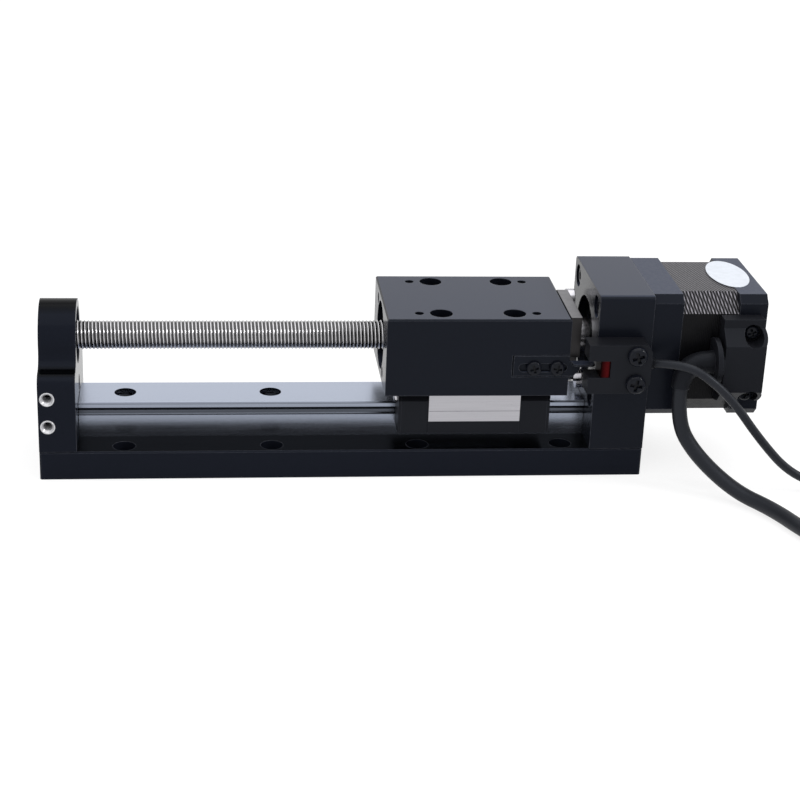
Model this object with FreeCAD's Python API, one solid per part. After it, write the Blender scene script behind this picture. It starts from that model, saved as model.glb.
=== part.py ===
import FreeCAD, Part
import math
import os

# Ball screw linear actuator: a base plate with a linear guide, a carriage
# driven by a ball screw, two bearing supports and a square stepper motor.
# Millimetres. X runs along the screw towards the motor, Z is up, and the
# origin is at the centre of the underside of the base plate.

os.makedirs("parts", exist_ok=True)
V = FreeCAD.Vector
ALONG = V(1, 0, 0)
ACROSS = V(0, 1, 0)
UP = V(0, 0, 1)

# Clearances
seat_fit = 0.02
screw_fit = 0.05
running_gap = 0.3
face_gap = 0.1
nut_gap = 0.15

# Base plate
base_length = 165.0
base_width = 36.0
base_height = 8.0
edge_break = 0.4
hole_pitch = 40.0
hole_count = 4
mount_hole_rows = 28.0
mount_hole = 3.4
mount_counterbore = 6.2
mount_counterbore_depth = 3.3

# Linear rail
rail_width = 15.0
rail_height = 10.0
rail_hole = 3.5
rail_counterbore = 6.0
rail_counterbore_depth = 4.5
guide_ball = 2.4
groove_drop = 2.6
groove_depth = 0.75

# Heights above the top of the base plate
axis_rise = 27.0
guide_height = 16.0
guide_ride = 4.0

# Free end block
end_block_thickness = 10.0
foot_rise = 21.7
foot_radius = 3.4
head_radius = 10.0
insert_size = 4.0
insert_bore = 2.5
insert_depth = 5.0
insert_low = 7.3
insert_pitch = 8.0
insert_from_face = 2.5
stop_size = 4.2
stop_depth = 6.0
stop_rise = 13.2
left_stop_proud = -1.0
right_stop_proud = 1.6

# Socket head screws
m3_shank = 3.0
m3_head = 5.5
m3_head_height = 3.0
m4_shank = 4.0
m4_head = 7.0
m4_head_height = 4.0
m4_sink = 0.5
m4_reach = 7.0
m4_spacing = 20.0

# Screw and its bearings
screw_size = 8.0
journal_size = 6.0
tail_size = 5.0
bearing_outer = 15.0
bearing_width = 5.0
bearing_ball = 2.3
bearing_balls = 7
free_bearing_inset = 2.5
clip_thickness = 0.6
clip_size = 9.0
clip_groove = 5.4
journal_end = 0.9
thread_overlap = 0.1

# Motor mount
mount_thickness = 15.0
mount_rounding = 1.5
recess_size = 22.2
recess_depth = 3.5
retainer_thickness = 1.5
retainer_bore = 13.0
spanner_hole = 1.4
lip_bore = 12.0
collar_size = 9.5
collar_proud = 2.5
nut_size = 11.0
nut_length = 4.5

# Motor
motor_size = 35.0
motor_pattern = 26.0
front_cap_length = 8.1
stack_length = 15.6
rear_cap_length = 7.7
front_cap_chamfer = 2.1
rear_cap_chamfer = 2.1
stack_inset = 0.2
stack_chamfer = 4.85
motor_screw_reach = 4.0
motor_screw_sink = 0.5
tie_sink = 0.2
tie_head_height = 3.0
rotor_shaft_size = 8.0
motor_bearing_outer = 16.0
motor_bearing_width = 4.0
motor_bearing_ball = 1.98
rear_bearing_inset = 1.3
rotor_size = 22.2
air_gap = 0.4
cup_length = 5.6
magnet_length = 2.0
pole_count = 8
pole_width = 3.6
shoe_depth = 1.1
shoe_angle = 34.0
coil_depth = 1.9
coil_width = 1.6
coil_overhang = 1.6

# Cover over the motor's lead exit
cover_start = 18.6
cover_length = 11.2
cover_flange_top = 12.3
cover_top = 9.9
cover_flat_top = 6.0
cover_flat_bottom = -7.3
cover_bottom = -11.2
cover_flange_bottom = -12.3
cover_flange_depth = 4.1
cover_depth = 8.0
cover_wall = 1.2
boss_size = 7.4
boss_recess = 5.4
boss_floor = 2.0
cover_screw_x = 26.7
cover_screw_top = 8.2
cover_screw_bottom = -9.7
m2_shank = 2.0
m2_head = 4.0
m2_head_height = 1.4
gland_size = 13.4
gland_neck = 9.0
gland_neck_length = 1.0
gland_thickness = 1.3
gland_depth = 4.0
gland_rise = 0.1
boot_start = 6.4
boot_end = 5.2

# Label, a bare oval
label_length = 11.1
label_width = 22.4
label_thickness = 0.12
label_from_mount = 24.6
label_shift = 1.2

# Carriage
carriage_length = 50.0
carriage_width = 36.0
carriage_height = 22.0
home_gap = 4.3
carriage_bore = 19.0
nut_seat_length = 16.0
carriage_screw_pitch = 20.0
carriage_screw_rows = 26.0
carriage_counterbore = 6.2
carriage_counterbore_depth = 12.0
tapped_pitch = 32.0
tapped_size = 2.5
tapped_depth = 8.0

# Guide block
guide_width = 32.0
guide_steel_length = 25.2
datum_line_rise = 10.7
datum_line = 0.3
end_cap_length = 7.5
seal_thickness = 0.8
end_cap_drop = 1.1
end_cap_inset = 0.3
guide_strip_height = 3.6
guide_leg_width = 4.4
rail_clearance = 0.4
guide_screw_depth = 4.8
return_bore = 2.6
return_offset = 11.6
return_rise = 9.4
cap_screw_offset = 10.3
cap_screw_rise = 12.8
cap_screw_reach = 3.5
cap_screw_head = 3.2
cap_screw_head_height = 0.9
guide_ball_pitch = 3.0
guide_balls_per_side = 8

# Ball nut
nut_body = 16.0
nut_body_length = 18.0
flange_size = 25.5
flange_thickness = 3.0
flange_flats = 22.0
ear_reach = 16.3
ear_drop = 0.5
flange_screw_offset = 8.0
flange_screw_reach = 8.0
flange_head = 5.3
flange_head_height = 2.3
wiper_size = 12.0
wiper_thickness = 1.2

# Home flag on the carriage
flag_thickness = 0.8
flag_recess_length = 15.7
flag_recess_top = 0.7
flag_recess_bottom = -5.5
flag_play = 0.4
flag_slot = 2.4
flag_slot_length = 13.2
flag_slot_inset = 1.5
flag_screw_drop = -2.9
flag_screw_first = 3.3
flag_screw_second = 9.7
flag_head = 4.1
flag_head_height = 1.2
flag_reach = 3.0
flag_tab_length = 6.0
flag_tab_reach = 3.7
flag_tab_depth = 2.4
flag_tab_top = -1.1
flag_tab_thickness = 0.6

# Photo sensor
sensor_start = 64.1
sensor_length = 17.2
sensor_depth = 6.5
sensor_top = 6.0
sensor_bottom = -7.9
slot_top = 1.5
slot_bottom = -3.3
slot_length = 3.4
window_length = 2.7
sensor_slant = 2.0
sensor_screw_x = 77.2
sensor_screw_high = 3.0
sensor_screw_low = -5.0
sensor_screw_reach = 5.0
pan_head = 5.4
pan_head_height = 1.8
sensor_gland_size = 4.0

# Cables: the routes' points are laid out by hand, in millimetres
motor_cable = 4.2
motor_route = [
    (90.4, -22.4, 28.1),
    (90.0, -23.2, 18.6),
    (95.0, -27.2, 10.2),
    (104.6, -35.2, 2.8),
    (112.6, -45.4, 2.2),
    (117.6, -58.6, 2.2),
    (124.4, -71.2, 2.2),
]
motor_coil_radius = 23.0
motor_coil_lead = 14.0
motor_strands = [(2.15, 2.2), (-2.15, 2.2), (0.0, 5.95)]
motor_tail = 30.0
motor_tail_end = 3.2
motor_plug = (10.0, 14.0, 6.4)
sensor_cable = 2.4
sensor_route = [
    (82.6, -22.0, 35.0),
    (87.4, -25.2, 36.0),
    (93.4, -29.4, 35.6),
    (102.4, -30.6, 28.2),
    (111.5, -30.5, 16.1),
    (121.4, -30.0, 5.4),
    (133.0, -30.4, 1.3),
    (145.0, -29.6, 1.3),
]
sensor_coil_radius = 13.2
sensor_coil_lead = 8.5
sensor_strands = [(2.45, 1.3), (0.0, 1.3), (-2.45, 1.3), (-1.25, 3.45), (1.25, 3.45)]
sensor_tail = 22.0
sensor_tail_end = 2.7
sensor_plug = (7.6, 10.0, 5.4)

# Places worked out from the sizes
axis_z = base_height + axis_rise
left_end = -base_length / 2
block_right = left_end + end_block_thickness
mount_right = base_length / 2
mount_left = mount_right - mount_thickness
hole_xs = [(i - (hole_count - 1) / 2) * hole_pitch for i in range(hole_count)]
motor_half = motor_size / 2
motor_corner = motor_pattern / 2
stack_start = mount_right + front_cap_length
stack_end = stack_start + stack_length
motor_end = stack_end + rear_cap_length
front_face = -motor_half
mount_front = -base_width / 2
guide_top = base_height + guide_height
guide_bottom = base_height + guide_ride
carriage_bottom = guide_top
carriage_top = carriage_bottom + carriage_height
flange_right = mount_left - home_gap
carriage_right = flange_right - flange_thickness
carriage_left = carriage_right - carriage_length
carriage_middle = (carriage_left + carriage_right) / 2
carriage_front = -carriage_width / 2
rail_top = base_height + rail_height
groove_z = rail_top - groove_drop
ball_y = rail_width / 2 + guide_ball / 2 - groove_depth
fixed_bearing_start = mount_left + recess_depth
fixed_bearing_end = fixed_bearing_start + 2 * bearing_width
motor_corners = [(sy * motor_corner, sz * motor_corner) for sy in (-1, 1) for sz in (-1, 1)]


def box(x0, x1, y0, y1, z0, z1):
    return Part.makeBox(x1 - x0, y1 - y0, z1 - z0, V(x0, y0, z0))


def rod_x(x0, x1, size, y=0.0, z=axis_z):
    return Part.makeCylinder(size / 2, x1 - x0, V(x0, y, z), ALONG)


def rod_y(y0, y1, size, x, z):
    return Part.makeCylinder(size / 2, y1 - y0, V(x, y0, z), ACROSS)


def rod_z(z0, z1, size, x, y):
    return Part.makeCylinder(size / 2, z1 - z0, V(x, y, z0), UP)


def ring_x(x0, x1, outer, inner):
    return rod_x(x0, x1, outer).cut(rod_x(x0, x1, inner))


def prism_x(points, x0, x1):
    corners = [V(x0, y, z) for y, z in points]
    outline = Part.makePolygon(corners + corners[:1])
    return Part.Face(outline).extrude(V(x1 - x0, 0, 0))


def prism_y(points, y0, y1):
    corners = [V(x, y0, z) for x, z in points]
    outline = Part.makePolygon(corners + corners[:1])
    return Part.Face(outline).extrude(V(0, y1 - y0, 0))


def square_x(x0, x1, half, chamfer):
    near = half - chamfer
    corners = [
        (-near, -half), (near, -half), (half, -near), (half, near),
        (near, half), (-near, half), (-half, near), (-half, -near),
    ]
    return prism_x([(y, axis_z + z) for y, z in corners], x0, x1)


def arc_yz(x, centre_y, centre_z, radius, start, end):
    points = []
    for angle in (start, (start + end) / 2, end):
        turn = math.radians(angle)
        points.append(V(x, centre_y + radius * math.cos(turn), centre_z + radius * math.sin(turn)))
    return Part.Arc(points[0], points[1], points[2]).toShape()


def line_yz(x, start, end):
    return Part.LineSegment(V(x, start[0], start[1]), V(x, end[0], end[1])).toShape()


def chamfered(shape, size, picks):
    edges = [edge for edge in shape.Edges if picks(edge)]
    return shape.makeChamfer(size, edges)


def runs_along(edge, direction):
    if len(edge.Vertexes) < 2:
        return False
    span = edge.Vertexes[1].Point - edge.Vertexes[0].Point
    return span.Length > 0 and abs(abs(span.dot(direction)) / span.Length - 1) < 1e-6


def cap_screw(axis, place, shank, reach, head, head_height):
    body = Part.makeCylinder(shank / 2, reach, place, axis)
    top = Part.makeCylinder(head / 2, head_height, place, axis * -1)
    return body.fuse(top).removeSplitter()


def bearing(x0, bore, outer, width, ball):
    # Deep groove ball bearing: two rings, and the balls in their cage.
    pitch = (bore + outer) / 4
    groove_edge = ball / 2 * 0.78
    raceway = Part.makeTorus(pitch, ball / 2 + seat_fit, V(x0 + width / 2, 0, axis_z), ALONG)
    inner = ring_x(x0, x0 + width, 2 * (pitch - groove_edge), bore + 2 * seat_fit).cut(raceway)
    race = ring_x(x0, x0 + width, outer, 2 * (pitch + groove_edge)).cut(raceway)
    cage_half = ball * 0.32
    middle = x0 + width / 2
    cage = ring_x(middle - cage_half, middle + cage_half, 2 * pitch + ball * 0.4, 2 * pitch - ball * 0.4)
    balls = []
    for i in range(bearing_balls):
        turn = 2 * math.pi * i / bearing_balls
        centre = V(middle, pitch * math.cos(turn), axis_z + pitch * math.sin(turn))
        balls.append(Part.makeSphere(ball / 2, centre))
    return inner, race, cage.multiFuse(balls)


def save(name, pieces):
    solids = []
    for piece in pieces:
        solids.extend(piece.Solids)
    for solid in solids:
        if not solid.isValid():
            print("not valid:", name)
    shape = solids[0] if len(solids) == 1 else Part.makeCompound(solids)
    shape.exportStep("parts/" + name + ".step")
    volume = sum(solid.Volume for solid in solids)
    print(name, len(solids), "solids", round(volume, 1), "mm3")


# Base plate with its counterbored mounting holes

plate = box(left_end, mount_right, -base_width / 2, base_width / 2, 0, base_height)
plate = chamfered(plate, edge_break, lambda edge: runs_along(edge, UP) or edge.BoundBox.ZMin > base_height / 2)
m4_places = [(left_end + end_block_thickness / 2, sy * m4_spacing / 2) for sy in (-1, 1)]
m4_places += [(mount_left + mount_thickness / 2, sy * m4_spacing / 2) for sy in (-1, 1)]
cuts = []
for x in hole_xs:
    for y in (-mount_hole_rows / 2, mount_hole_rows / 2):
        cuts.append(rod_z(0, base_height, mount_hole, x, y))
        cuts.append(rod_z(base_height - mount_counterbore_depth, base_height, mount_counterbore, x, y))
    cuts.append(rod_z(base_height - 6, base_height, m3_shank + 2 * screw_fit, x, 0))
for x, y in m4_places:
    cuts.append(rod_z(0, base_height, m4_shank + 2 * screw_fit, x, y))
    cuts.append(rod_z(0, m4_head_height + m4_sink, m4_head + 0.5, x, y))
save("base_plate", [plate.cut(cuts)])

# Rail: one profile with a ball groove down each side

rail = box(block_right + face_gap, mount_left - face_gap, -rail_width / 2, rail_width / 2, base_height, rail_top)
rail = chamfered(rail, edge_break, lambda edge: runs_along(edge, ALONG) and edge.BoundBox.ZMin > base_height + 1)
cuts = []
for side in (-1, 1):
    groove = guide_ball + 2 * seat_fit
    cuts.append(rod_x(block_right, mount_left, groove, side * ball_y, groove_z))
for x in hole_xs:
    cuts.append(rod_z(base_height, rail_top, rail_hole, x, 0))
    cuts.append(rod_z(rail_top - rail_counterbore_depth, rail_top, rail_counterbore, x, 0))
save("linear_rail", [rail.cut(cuts)])

rail_seat = rail_top - rail_counterbore_depth
rail_screw_reach = rail_seat - base_height + 5
screws = [cap_screw(UP * -1, V(x, 0, rail_seat), m3_shank, rail_screw_reach, m3_head, m3_head_height) for x in hole_xs]
save("rail_screws", screws)

# Free end block: a foot with rounded corners and a round head, joined by
# hollow shoulders that touch both roundings

foot_top = base_height + foot_rise
half_width = base_width / 2
corner_y = half_width - foot_radius
corner_z = foot_top - foot_radius
head_rise = axis_z - foot_top
shoulder_radius = (corner_y ** 2 + head_rise ** 2 - head_radius ** 2) / (2 * (head_radius + head_rise))
shoulder_z = foot_top + shoulder_radius
touch = math.degrees(math.atan2(axis_z - shoulder_z, corner_y))
outline = [
    line_yz(left_end, (-half_width, base_height), (half_width, base_height)),
    line_yz(left_end, (half_width, base_height), (half_width, corner_z)),
    arc_yz(left_end, corner_y, corner_z, foot_radius, 0, 90),
    arc_yz(left_end, corner_y, shoulder_z, shoulder_radius, 270, 180 - touch),
    arc_yz(left_end, 0, axis_z, head_radius, -touch, 180 + touch),
    arc_yz(left_end, -corner_y, shoulder_z, shoulder_radius, touch, -90),
    arc_yz(left_end, -corner_y, corner_z, foot_radius, 90, 180),
    line_yz(left_end, (-half_width, corner_z), (-half_width, base_height)),
]
block = Part.Face(Part.Wire(outline)).extrude(V(end_block_thickness, 0, 0))
insert_x = left_end + insert_from_face
insert_zs = [base_height + insert_low, base_height + insert_low + insert_pitch]
cuts = [rod_x(left_end, block_right, bearing_outer + 2 * seat_fit)]
mouth = bearing_outer / 2 + seat_fit
for x, direction in ((left_end, 1), (block_right, -1)):
    cuts.append(Part.makeCone(mouth + edge_break, mouth, edge_break, V(x, 0, axis_z), ALONG * direction))
for z in insert_zs:
    cuts.append(rod_y(-half_width, -half_width + insert_depth, insert_size + 2 * seat_fit, insert_x, z))
m4_hole_top = base_height + m4_reach + 1
for x, y in m4_places[:2]:
    cuts.append(rod_z(base_height, m4_hole_top, m4_shank + 2 * screw_fit, x, y))
stop_z = base_height + stop_rise
stop_hole = stop_size + 2 * seat_fit
cuts.append(rod_x(block_right - stop_depth, block_right, stop_hole, 0, stop_z))
save("free_end_block", [block.cut(cuts)])

inserts = []
for z in insert_zs:
    sleeve = rod_y(-half_width, -half_width + insert_depth, insert_size, insert_x, z)
    inserts.append(sleeve.cut(rod_y(-half_width, -half_width + insert_depth, insert_bore, insert_x, z)))
save("thread_inserts", inserts)

stops = [
    rod_x(block_right - stop_depth, block_right + left_stop_proud, stop_size, 0, stop_z),
    rod_x(mount_left - right_stop_proud, mount_left + stop_depth, stop_size, 0, stop_z),
]
save("end_stops", stops)

m4_length = base_height - m4_head_height - m4_sink + m4_reach
screws = []
for x, y in m4_places:
    seat = V(x, y, m4_head_height + m4_sink)
    screws.append(cap_screw(UP, seat, m4_shank, m4_length, m4_head, m4_head_height))
save("end_block_screws", screws[:2])
save("mount_screws", screws[2:])

# Motor mount: a block with the fixed bearings' seat and the motor behind it

mount_top = axis_z + motor_half
mount = box(mount_left, mount_right, mount_front, -mount_front, base_height, mount_top)
top_edges = [edge for edge in mount.Edges if runs_along(edge, ALONG) and edge.BoundBox.ZMin > axis_z]
mount = mount.makeFillet(mount_rounding, top_edges)
cuts = [
    rod_x(mount_left, fixed_bearing_start, recess_size),
    rod_x(mount_left, fixed_bearing_end, bearing_outer + 2 * seat_fit),
    rod_x(mount_left, mount_right, lip_bore),
    rod_x(mount_left, mount_left + stop_depth, stop_hole, 0, stop_z),
]
motor_screw_seat = mount_left + m3_head_height + motor_screw_sink
for y, z in motor_corners:
    cuts.append(rod_x(mount_left, mount_right, m3_shank + 4 * screw_fit, y, axis_z + z))
    cuts.append(rod_x(mount_left, motor_screw_seat, m3_head + 0.8, y, axis_z + z))
sensor_screw_zs = [axis_z + sensor_screw_high, axis_z + sensor_screw_low]
for z in sensor_screw_zs:
    cuts.append(rod_y(mount_front, mount_front + sensor_screw_reach + 1, m3_shank + 2 * screw_fit, sensor_screw_x, z))
for x, y in m4_places[2:]:
    cuts.append(rod_z(base_height, m4_hole_top, m4_shank + 2 * screw_fit, x, y))
save("motor_mount", [mount.cut(cuts)])

retainer_start = fixed_bearing_start - retainer_thickness
retainer = ring_x(retainer_start, fixed_bearing_start, recess_size - 2 * seat_fit, retainer_bore)
spanner_offset = (recess_size + retainer_bore) / 4
spanner_holes = [rod_x(retainer_start, fixed_bearing_start, spanner_hole, sy * spanner_offset) for sy in (-1, 1)]
save("bearing_retainer", [retainer.cut(spanner_holes)])

# Bearings

free_bearing_start = left_end + free_bearing_inset
free_inner, free_outer, free_cage = bearing(
    free_bearing_start, journal_size, bearing_outer, bearing_width, bearing_ball)
save("free_bearing_outer", [free_outer])
save("free_bearing_inner", [free_inner])
fixed_inners = []
fixed_outers = []
cages = [free_cage]
for i in range(2):
    inner, outer, cage = bearing(
        fixed_bearing_start + i * bearing_width, journal_size, bearing_outer, bearing_width, bearing_ball)
    fixed_inners.append(inner)
    fixed_outers.append(outer)
    cages.append(cage)
save("fixed_bearing_outers", fixed_outers)
save("fixed_bearing_inners", fixed_inners)
motor_bearing_starts = [
    stack_start - motor_bearing_width,
    stack_end + rear_bearing_inset,
]
motor_inners = []
motor_outers = []
for start in motor_bearing_starts:
    inner, outer, cage = bearing(
        start, rotor_shaft_size, motor_bearing_outer, motor_bearing_width, motor_bearing_ball)
    motor_inners.append(inner)
    motor_outers.append(outer)
    cages.append(cage)
save("motor_bearing_outers", motor_outers)
save("motor_bearing_inners", motor_inners)
save("bearing_ball_cages", cages)

# Ball screw: the threaded length is drawn at its full size, with a journal at
# each end and a long tail inside the hollow motor shaft

collar_start = mount_left - collar_proud
thread_start = free_bearing_start + bearing_width + thread_overlap
clip_start = free_bearing_start - clip_thickness
journal_start = clip_start - journal_end
lock_nut_end = fixed_bearing_end + nut_length
shaft_end = motor_bearing_starts[1] + motor_bearing_width
lead_in = 0.5
screw_profile = [
    (journal_start, 0),
    (journal_start, journal_size / 2 - lead_in / 2),
    (journal_start + lead_in / 2, journal_size / 2),
    (clip_start, journal_size / 2),
    (clip_start, clip_groove / 2),
    (clip_start + clip_thickness, clip_groove / 2),
    (clip_start + clip_thickness, journal_size / 2),
    (thread_start, journal_size / 2),
    (thread_start, screw_size / 2 - lead_in),
    (thread_start + lead_in, screw_size / 2),
    (collar_start, screw_size / 2),
    (collar_start, journal_size / 2),
    (lock_nut_end, journal_size / 2),
    (lock_nut_end, tail_size / 2),
    (shaft_end, tail_size / 2),
    (shaft_end, 0),
]
corners = [V(x, 0, axis_z + radius) for x, radius in screw_profile]
outline = Part.Face(Part.makePolygon(corners + corners[:1]))
save("ball_screw", [outline.revolve(V(0, 0, axis_z), ALONG, 360)])

collar = ring_x(collar_start, fixed_bearing_start, collar_size, journal_size + 2 * seat_fit)
save("screw_collar", [collar])
clip = ring_x(clip_start, clip_start + clip_thickness, clip_size, clip_groove + 2 * seat_fit)
clip_gap = prism_x([(0, axis_z), (-clip_size, axis_z - clip_size), (clip_size, axis_z - clip_size)],
                   clip_start, clip_start + clip_thickness)
save("shaft_clip", [clip.cut(clip_gap)])
lock_nut = ring_x(fixed_bearing_end, lock_nut_end, nut_size, journal_size + 2 * seat_fit)
flats = [box(fixed_bearing_end, lock_nut_end, -nut_size, nut_size, axis_z + side * nut_size / 2 - 0.5,
             axis_z + side * nut_size / 2 + 0.5) for side in (-1, 1)]
save("lock_nut", [lock_nut.cut(flats)])

# Motor: two cast caps, the laminated stack between them, the hollow rotor

stator_bore = rotor_size + 2 * air_gap
bore_radius = stator_bore / 2
shoe_outer = bore_radius + shoe_depth
coil_inner = shoe_outer + face_gap
coil_outer = coil_inner + coil_depth
stem_half = pole_width / 2 + face_gap
yoke_bore = 2 * (math.sqrt(coil_outer ** 2 + (stem_half + coil_width) ** 2) + face_gap)
front_cap = square_x(mount_right, stack_start, motor_half, front_cap_chamfer)
pocket = yoke_bore
hub = motor_bearing_outer + 4
pocket_depth = coil_overhang + 0.4
cuts = [
    rod_x(mount_right, motor_bearing_starts[0], nut_size + 3),
    rod_x(motor_bearing_starts[0], stack_start, motor_bearing_outer + 2 * seat_fit),
    ring_x(stack_start - pocket_depth, stack_start, pocket, hub),
]
tie_stop = mount_right + motor_screw_reach + 1
for y, z in motor_corners:
    cuts.append(rod_x(mount_right, stack_start, m3_shank + 2 * screw_fit, y, axis_z + z))
save("motor_front_cap", [front_cap.cut(cuts)])

rear_cap = square_x(stack_end, motor_end, motor_half, rear_cap_chamfer)
tie_seat = motor_end - tie_sink - tie_head_height
cuts = [
    rod_x(stack_end, shaft_end, motor_bearing_outer + 2 * seat_fit),
    rod_x(stack_end, shaft_end + 1, rotor_shaft_size + 2),
    ring_x(stack_end, stack_end + pocket_depth, pocket, hub),
]
for y, z in motor_corners:
    cuts.append(rod_x(stack_end, motor_end, m3_shank + 2 * screw_fit, y, axis_z + z))
    cuts.append(rod_x(tie_seat, motor_end, m3_head + 0.5, y, axis_z + z))
cover_screw_places = [
    (mount_right + cover_screw_x, axis_z + cover_screw_top),
    (mount_right + cover_screw_x, axis_z + cover_screw_bottom),
]
cover_screw_reach = 3.5
for x, z in cover_screw_places:
    cuts.append(rod_y(front_face, front_face + cover_screw_reach + 0.5, m2_shank + 2 * screw_fit, x, z))
save("motor_rear_cap", [rear_cap.cut(cuts)])

stator = square_x(stack_start, stack_end, motor_half - stack_inset, stack_chamfer)
stator = stator.cut(rod_x(stack_start, stack_end, yoke_bore))
poles = []
windings = []
axis_point = V(0, 0, axis_z)
for i in range(pole_count):
    angle = 360 * i / pole_count
    stem = box(stack_start, stack_end, -pole_width / 2, pole_width / 2,
               axis_z + bore_radius + shoe_depth / 2, axis_z + yoke_bore / 2 + 0.3)
    shoe = ring_x(stack_start, stack_end, 2 * shoe_outer, stator_bore)
    spread = math.tan(math.radians(shoe_angle / 2)) * shoe_outer * 1.2
    wedge = prism_x([(0, axis_z), (spread, axis_z + shoe_outer * 1.2), (-spread, axis_z + shoe_outer * 1.2)],
                    stack_start, stack_end)
    pole = stem.fuse(shoe.common(wedge))
    pole.rotate(axis_point, ALONG, angle)
    poles.append(pole)
    outer_half = stem_half + coil_width
    coil = box(stack_start - coil_overhang, stack_end + coil_overhang, -outer_half, outer_half,
               axis_z + coil_inner, axis_z + coil_outer)
    window = box(stack_start - face_gap, stack_end + face_gap, -stem_half, stem_half,
                 axis_z + coil_inner, axis_z + coil_outer)
    coil = coil.cut(window)
    coil.rotate(axis_point, ALONG, angle)
    windings.append(coil)
cuts = [rod_x(stack_start, stack_end, m3_shank + 2 * screw_fit, y, axis_z + z) for y, z in motor_corners]
save("motor_stator", [stator.multiFuse(poles).removeSplitter().cut(cuts)])
save("motor_windings", windings)

shaft_start = motor_bearing_starts[0]
save("rotor_shaft", [ring_x(shaft_start, shaft_end, rotor_shaft_size, tail_size + 2 * seat_fit)])
rotor_middle = (stack_start + stack_end) / 2
hub_bore = rotor_shaft_size + 2 * seat_fit
cups = []
for side in (-1, 1):
    near = rotor_middle + side * magnet_length / 2
    far = near + side * cup_length
    cup = ring_x(min(near, far), max(near, far), rotor_size, hub_bore)
    hollow_end = far - side * 2.0
    cup = cup.cut(ring_x(min(hollow_end, far), max(hollow_end, far), rotor_size - 5, hub_bore + 3))
    cups.append(cup)
save("rotor_cups", cups)
magnet = ring_x(rotor_middle - magnet_length / 2, rotor_middle + magnet_length / 2, rotor_size - 3, hub_bore)
save("rotor_magnet", [magnet])

screws = []
for y, z in motor_corners:
    seat = V(motor_screw_seat, y, axis_z + z)
    reach = mount_right - motor_screw_seat + motor_screw_reach
    screws.append(cap_screw(ALONG, seat, m3_shank, reach, m3_head, m3_head_height))
save("motor_mounting_screws", screws)
screws = []
for y, z in motor_corners:
    seat = V(tie_seat, y, axis_z + z)
    screws.append(cap_screw(ALONG * -1, seat, m3_shank, tie_seat - tie_stop, m3_head, tie_head_height))
save("motor_tie_screws", screws)

# Cover over the lead exit: a thin moulded shell with two screw bosses

cover_left = mount_right + cover_start
cover_right = cover_left + cover_length
cover_profile = [
    (front_face, axis_z + cover_flange_top),
    (front_face - cover_flange_depth, axis_z + cover_flange_top),
    (front_face - cover_flange_depth, axis_z + cover_top),
    (front_face - cover_depth, axis_z + cover_flat_top),
    (front_face - cover_depth, axis_z + cover_flat_bottom),
    (front_face - cover_flange_depth, axis_z + cover_bottom),
    (front_face, axis_z + cover_flange_bottom),
]
shell = prism_x(cover_profile, cover_left, cover_right)
back = [face for face in shell.Faces if face.BoundBox.YMin > front_face - 0.01]
shell = shell.makeThickness(back, -cover_wall, 0.001)
boss_front = front_face - cover_depth - 1
bosses = []
cuts = []
for x, z in cover_screw_places:
    post = rod_y(boss_front, front_face, boss_size, x, z)
    bosses.append(post.common(prism_x(cover_profile, cover_left, x + boss_size)))
    cuts.append(rod_y(boss_front, front_face - boss_floor, boss_recess, x, z))
    cuts.append(rod_y(boss_front, front_face, m2_shank + 2 * screw_fit, x, z))
gland_y = front_face - gland_depth
gland_z = axis_z + gland_rise
cuts.append(rod_x(cover_left, cover_left + cover_wall, motor_cable + 0.6, gland_y, gland_z))
save("cable_cover", [shell.multiFuse(bosses).removeSplitter().cut(cuts)])
screws = []
for x, z in cover_screw_places:
    seat = V(x, front_face - boss_floor, z)
    reach = boss_floor + cover_screw_reach
    screws.append(cap_screw(ACROSS, seat, m2_shank, reach, m2_head, m2_head_height))
save("cover_screws", screws)

# Cable gland: a neck and a round flange, both trimmed at the motor, and a boot
# that bends down

flange_face = cover_left - gland_neck_length
boot_face = flange_face - gland_thickness
neck = rod_x(flange_face, cover_left, gland_neck, gland_y, gland_z)
disc = rod_x(boot_face, flange_face, gland_size, gland_y, gland_z).fuse(neck)
disc = disc.cut(box(boot_face, cover_left, front_face - 0.05, 0, 0, mount_top))
boot_from = V(boot_face, gland_y, gland_z)
boot_to = V(*motor_route[0])
leave = (V(*motor_route[1]) - boot_to).normalize()
reach_out = (boot_from - boot_to).Length * 0.62
bend = [boot_from, boot_from - ALONG * reach_out, boot_to - leave * reach_out * 0.6, boot_to]
rings = []
boot_steps = 6
for i in range(boot_steps + 1):
    t = i / boot_steps
    s = 1 - t
    centre = bend[0] * s ** 3 + bend[1] * (3 * s * s * t) + bend[2] * (3 * s * t * t) + bend[3] * t ** 3
    along = (bend[1] - bend[0]) * (s * s) + (bend[2] - bend[1]) * (2 * s * t) + (bend[3] - bend[2]) * (t * t)
    size = boot_start + (boot_end - boot_start) * t
    rings.append(Part.Wire(Part.makeCircle(size / 2, centre, along)))
boot = Part.makeLoft(rings, True, False)
save("cable_gland", [disc.fuse(boot)])

# Bare oval label on the motor

label_x = mount_right + label_from_mount
label_z = axis_z + motor_half
label_middle = V(label_x, label_shift, label_z)
label_tip = label_middle + ACROSS * (label_width / 2)
label_side = label_middle - ALONG * (label_length / 2)
oval = Part.Wire(Part.Ellipse(label_tip, label_side, label_middle).toShape())
save("blank_label", [Part.Face(oval).extrude(UP * label_thickness)])

# Carriage block

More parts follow.
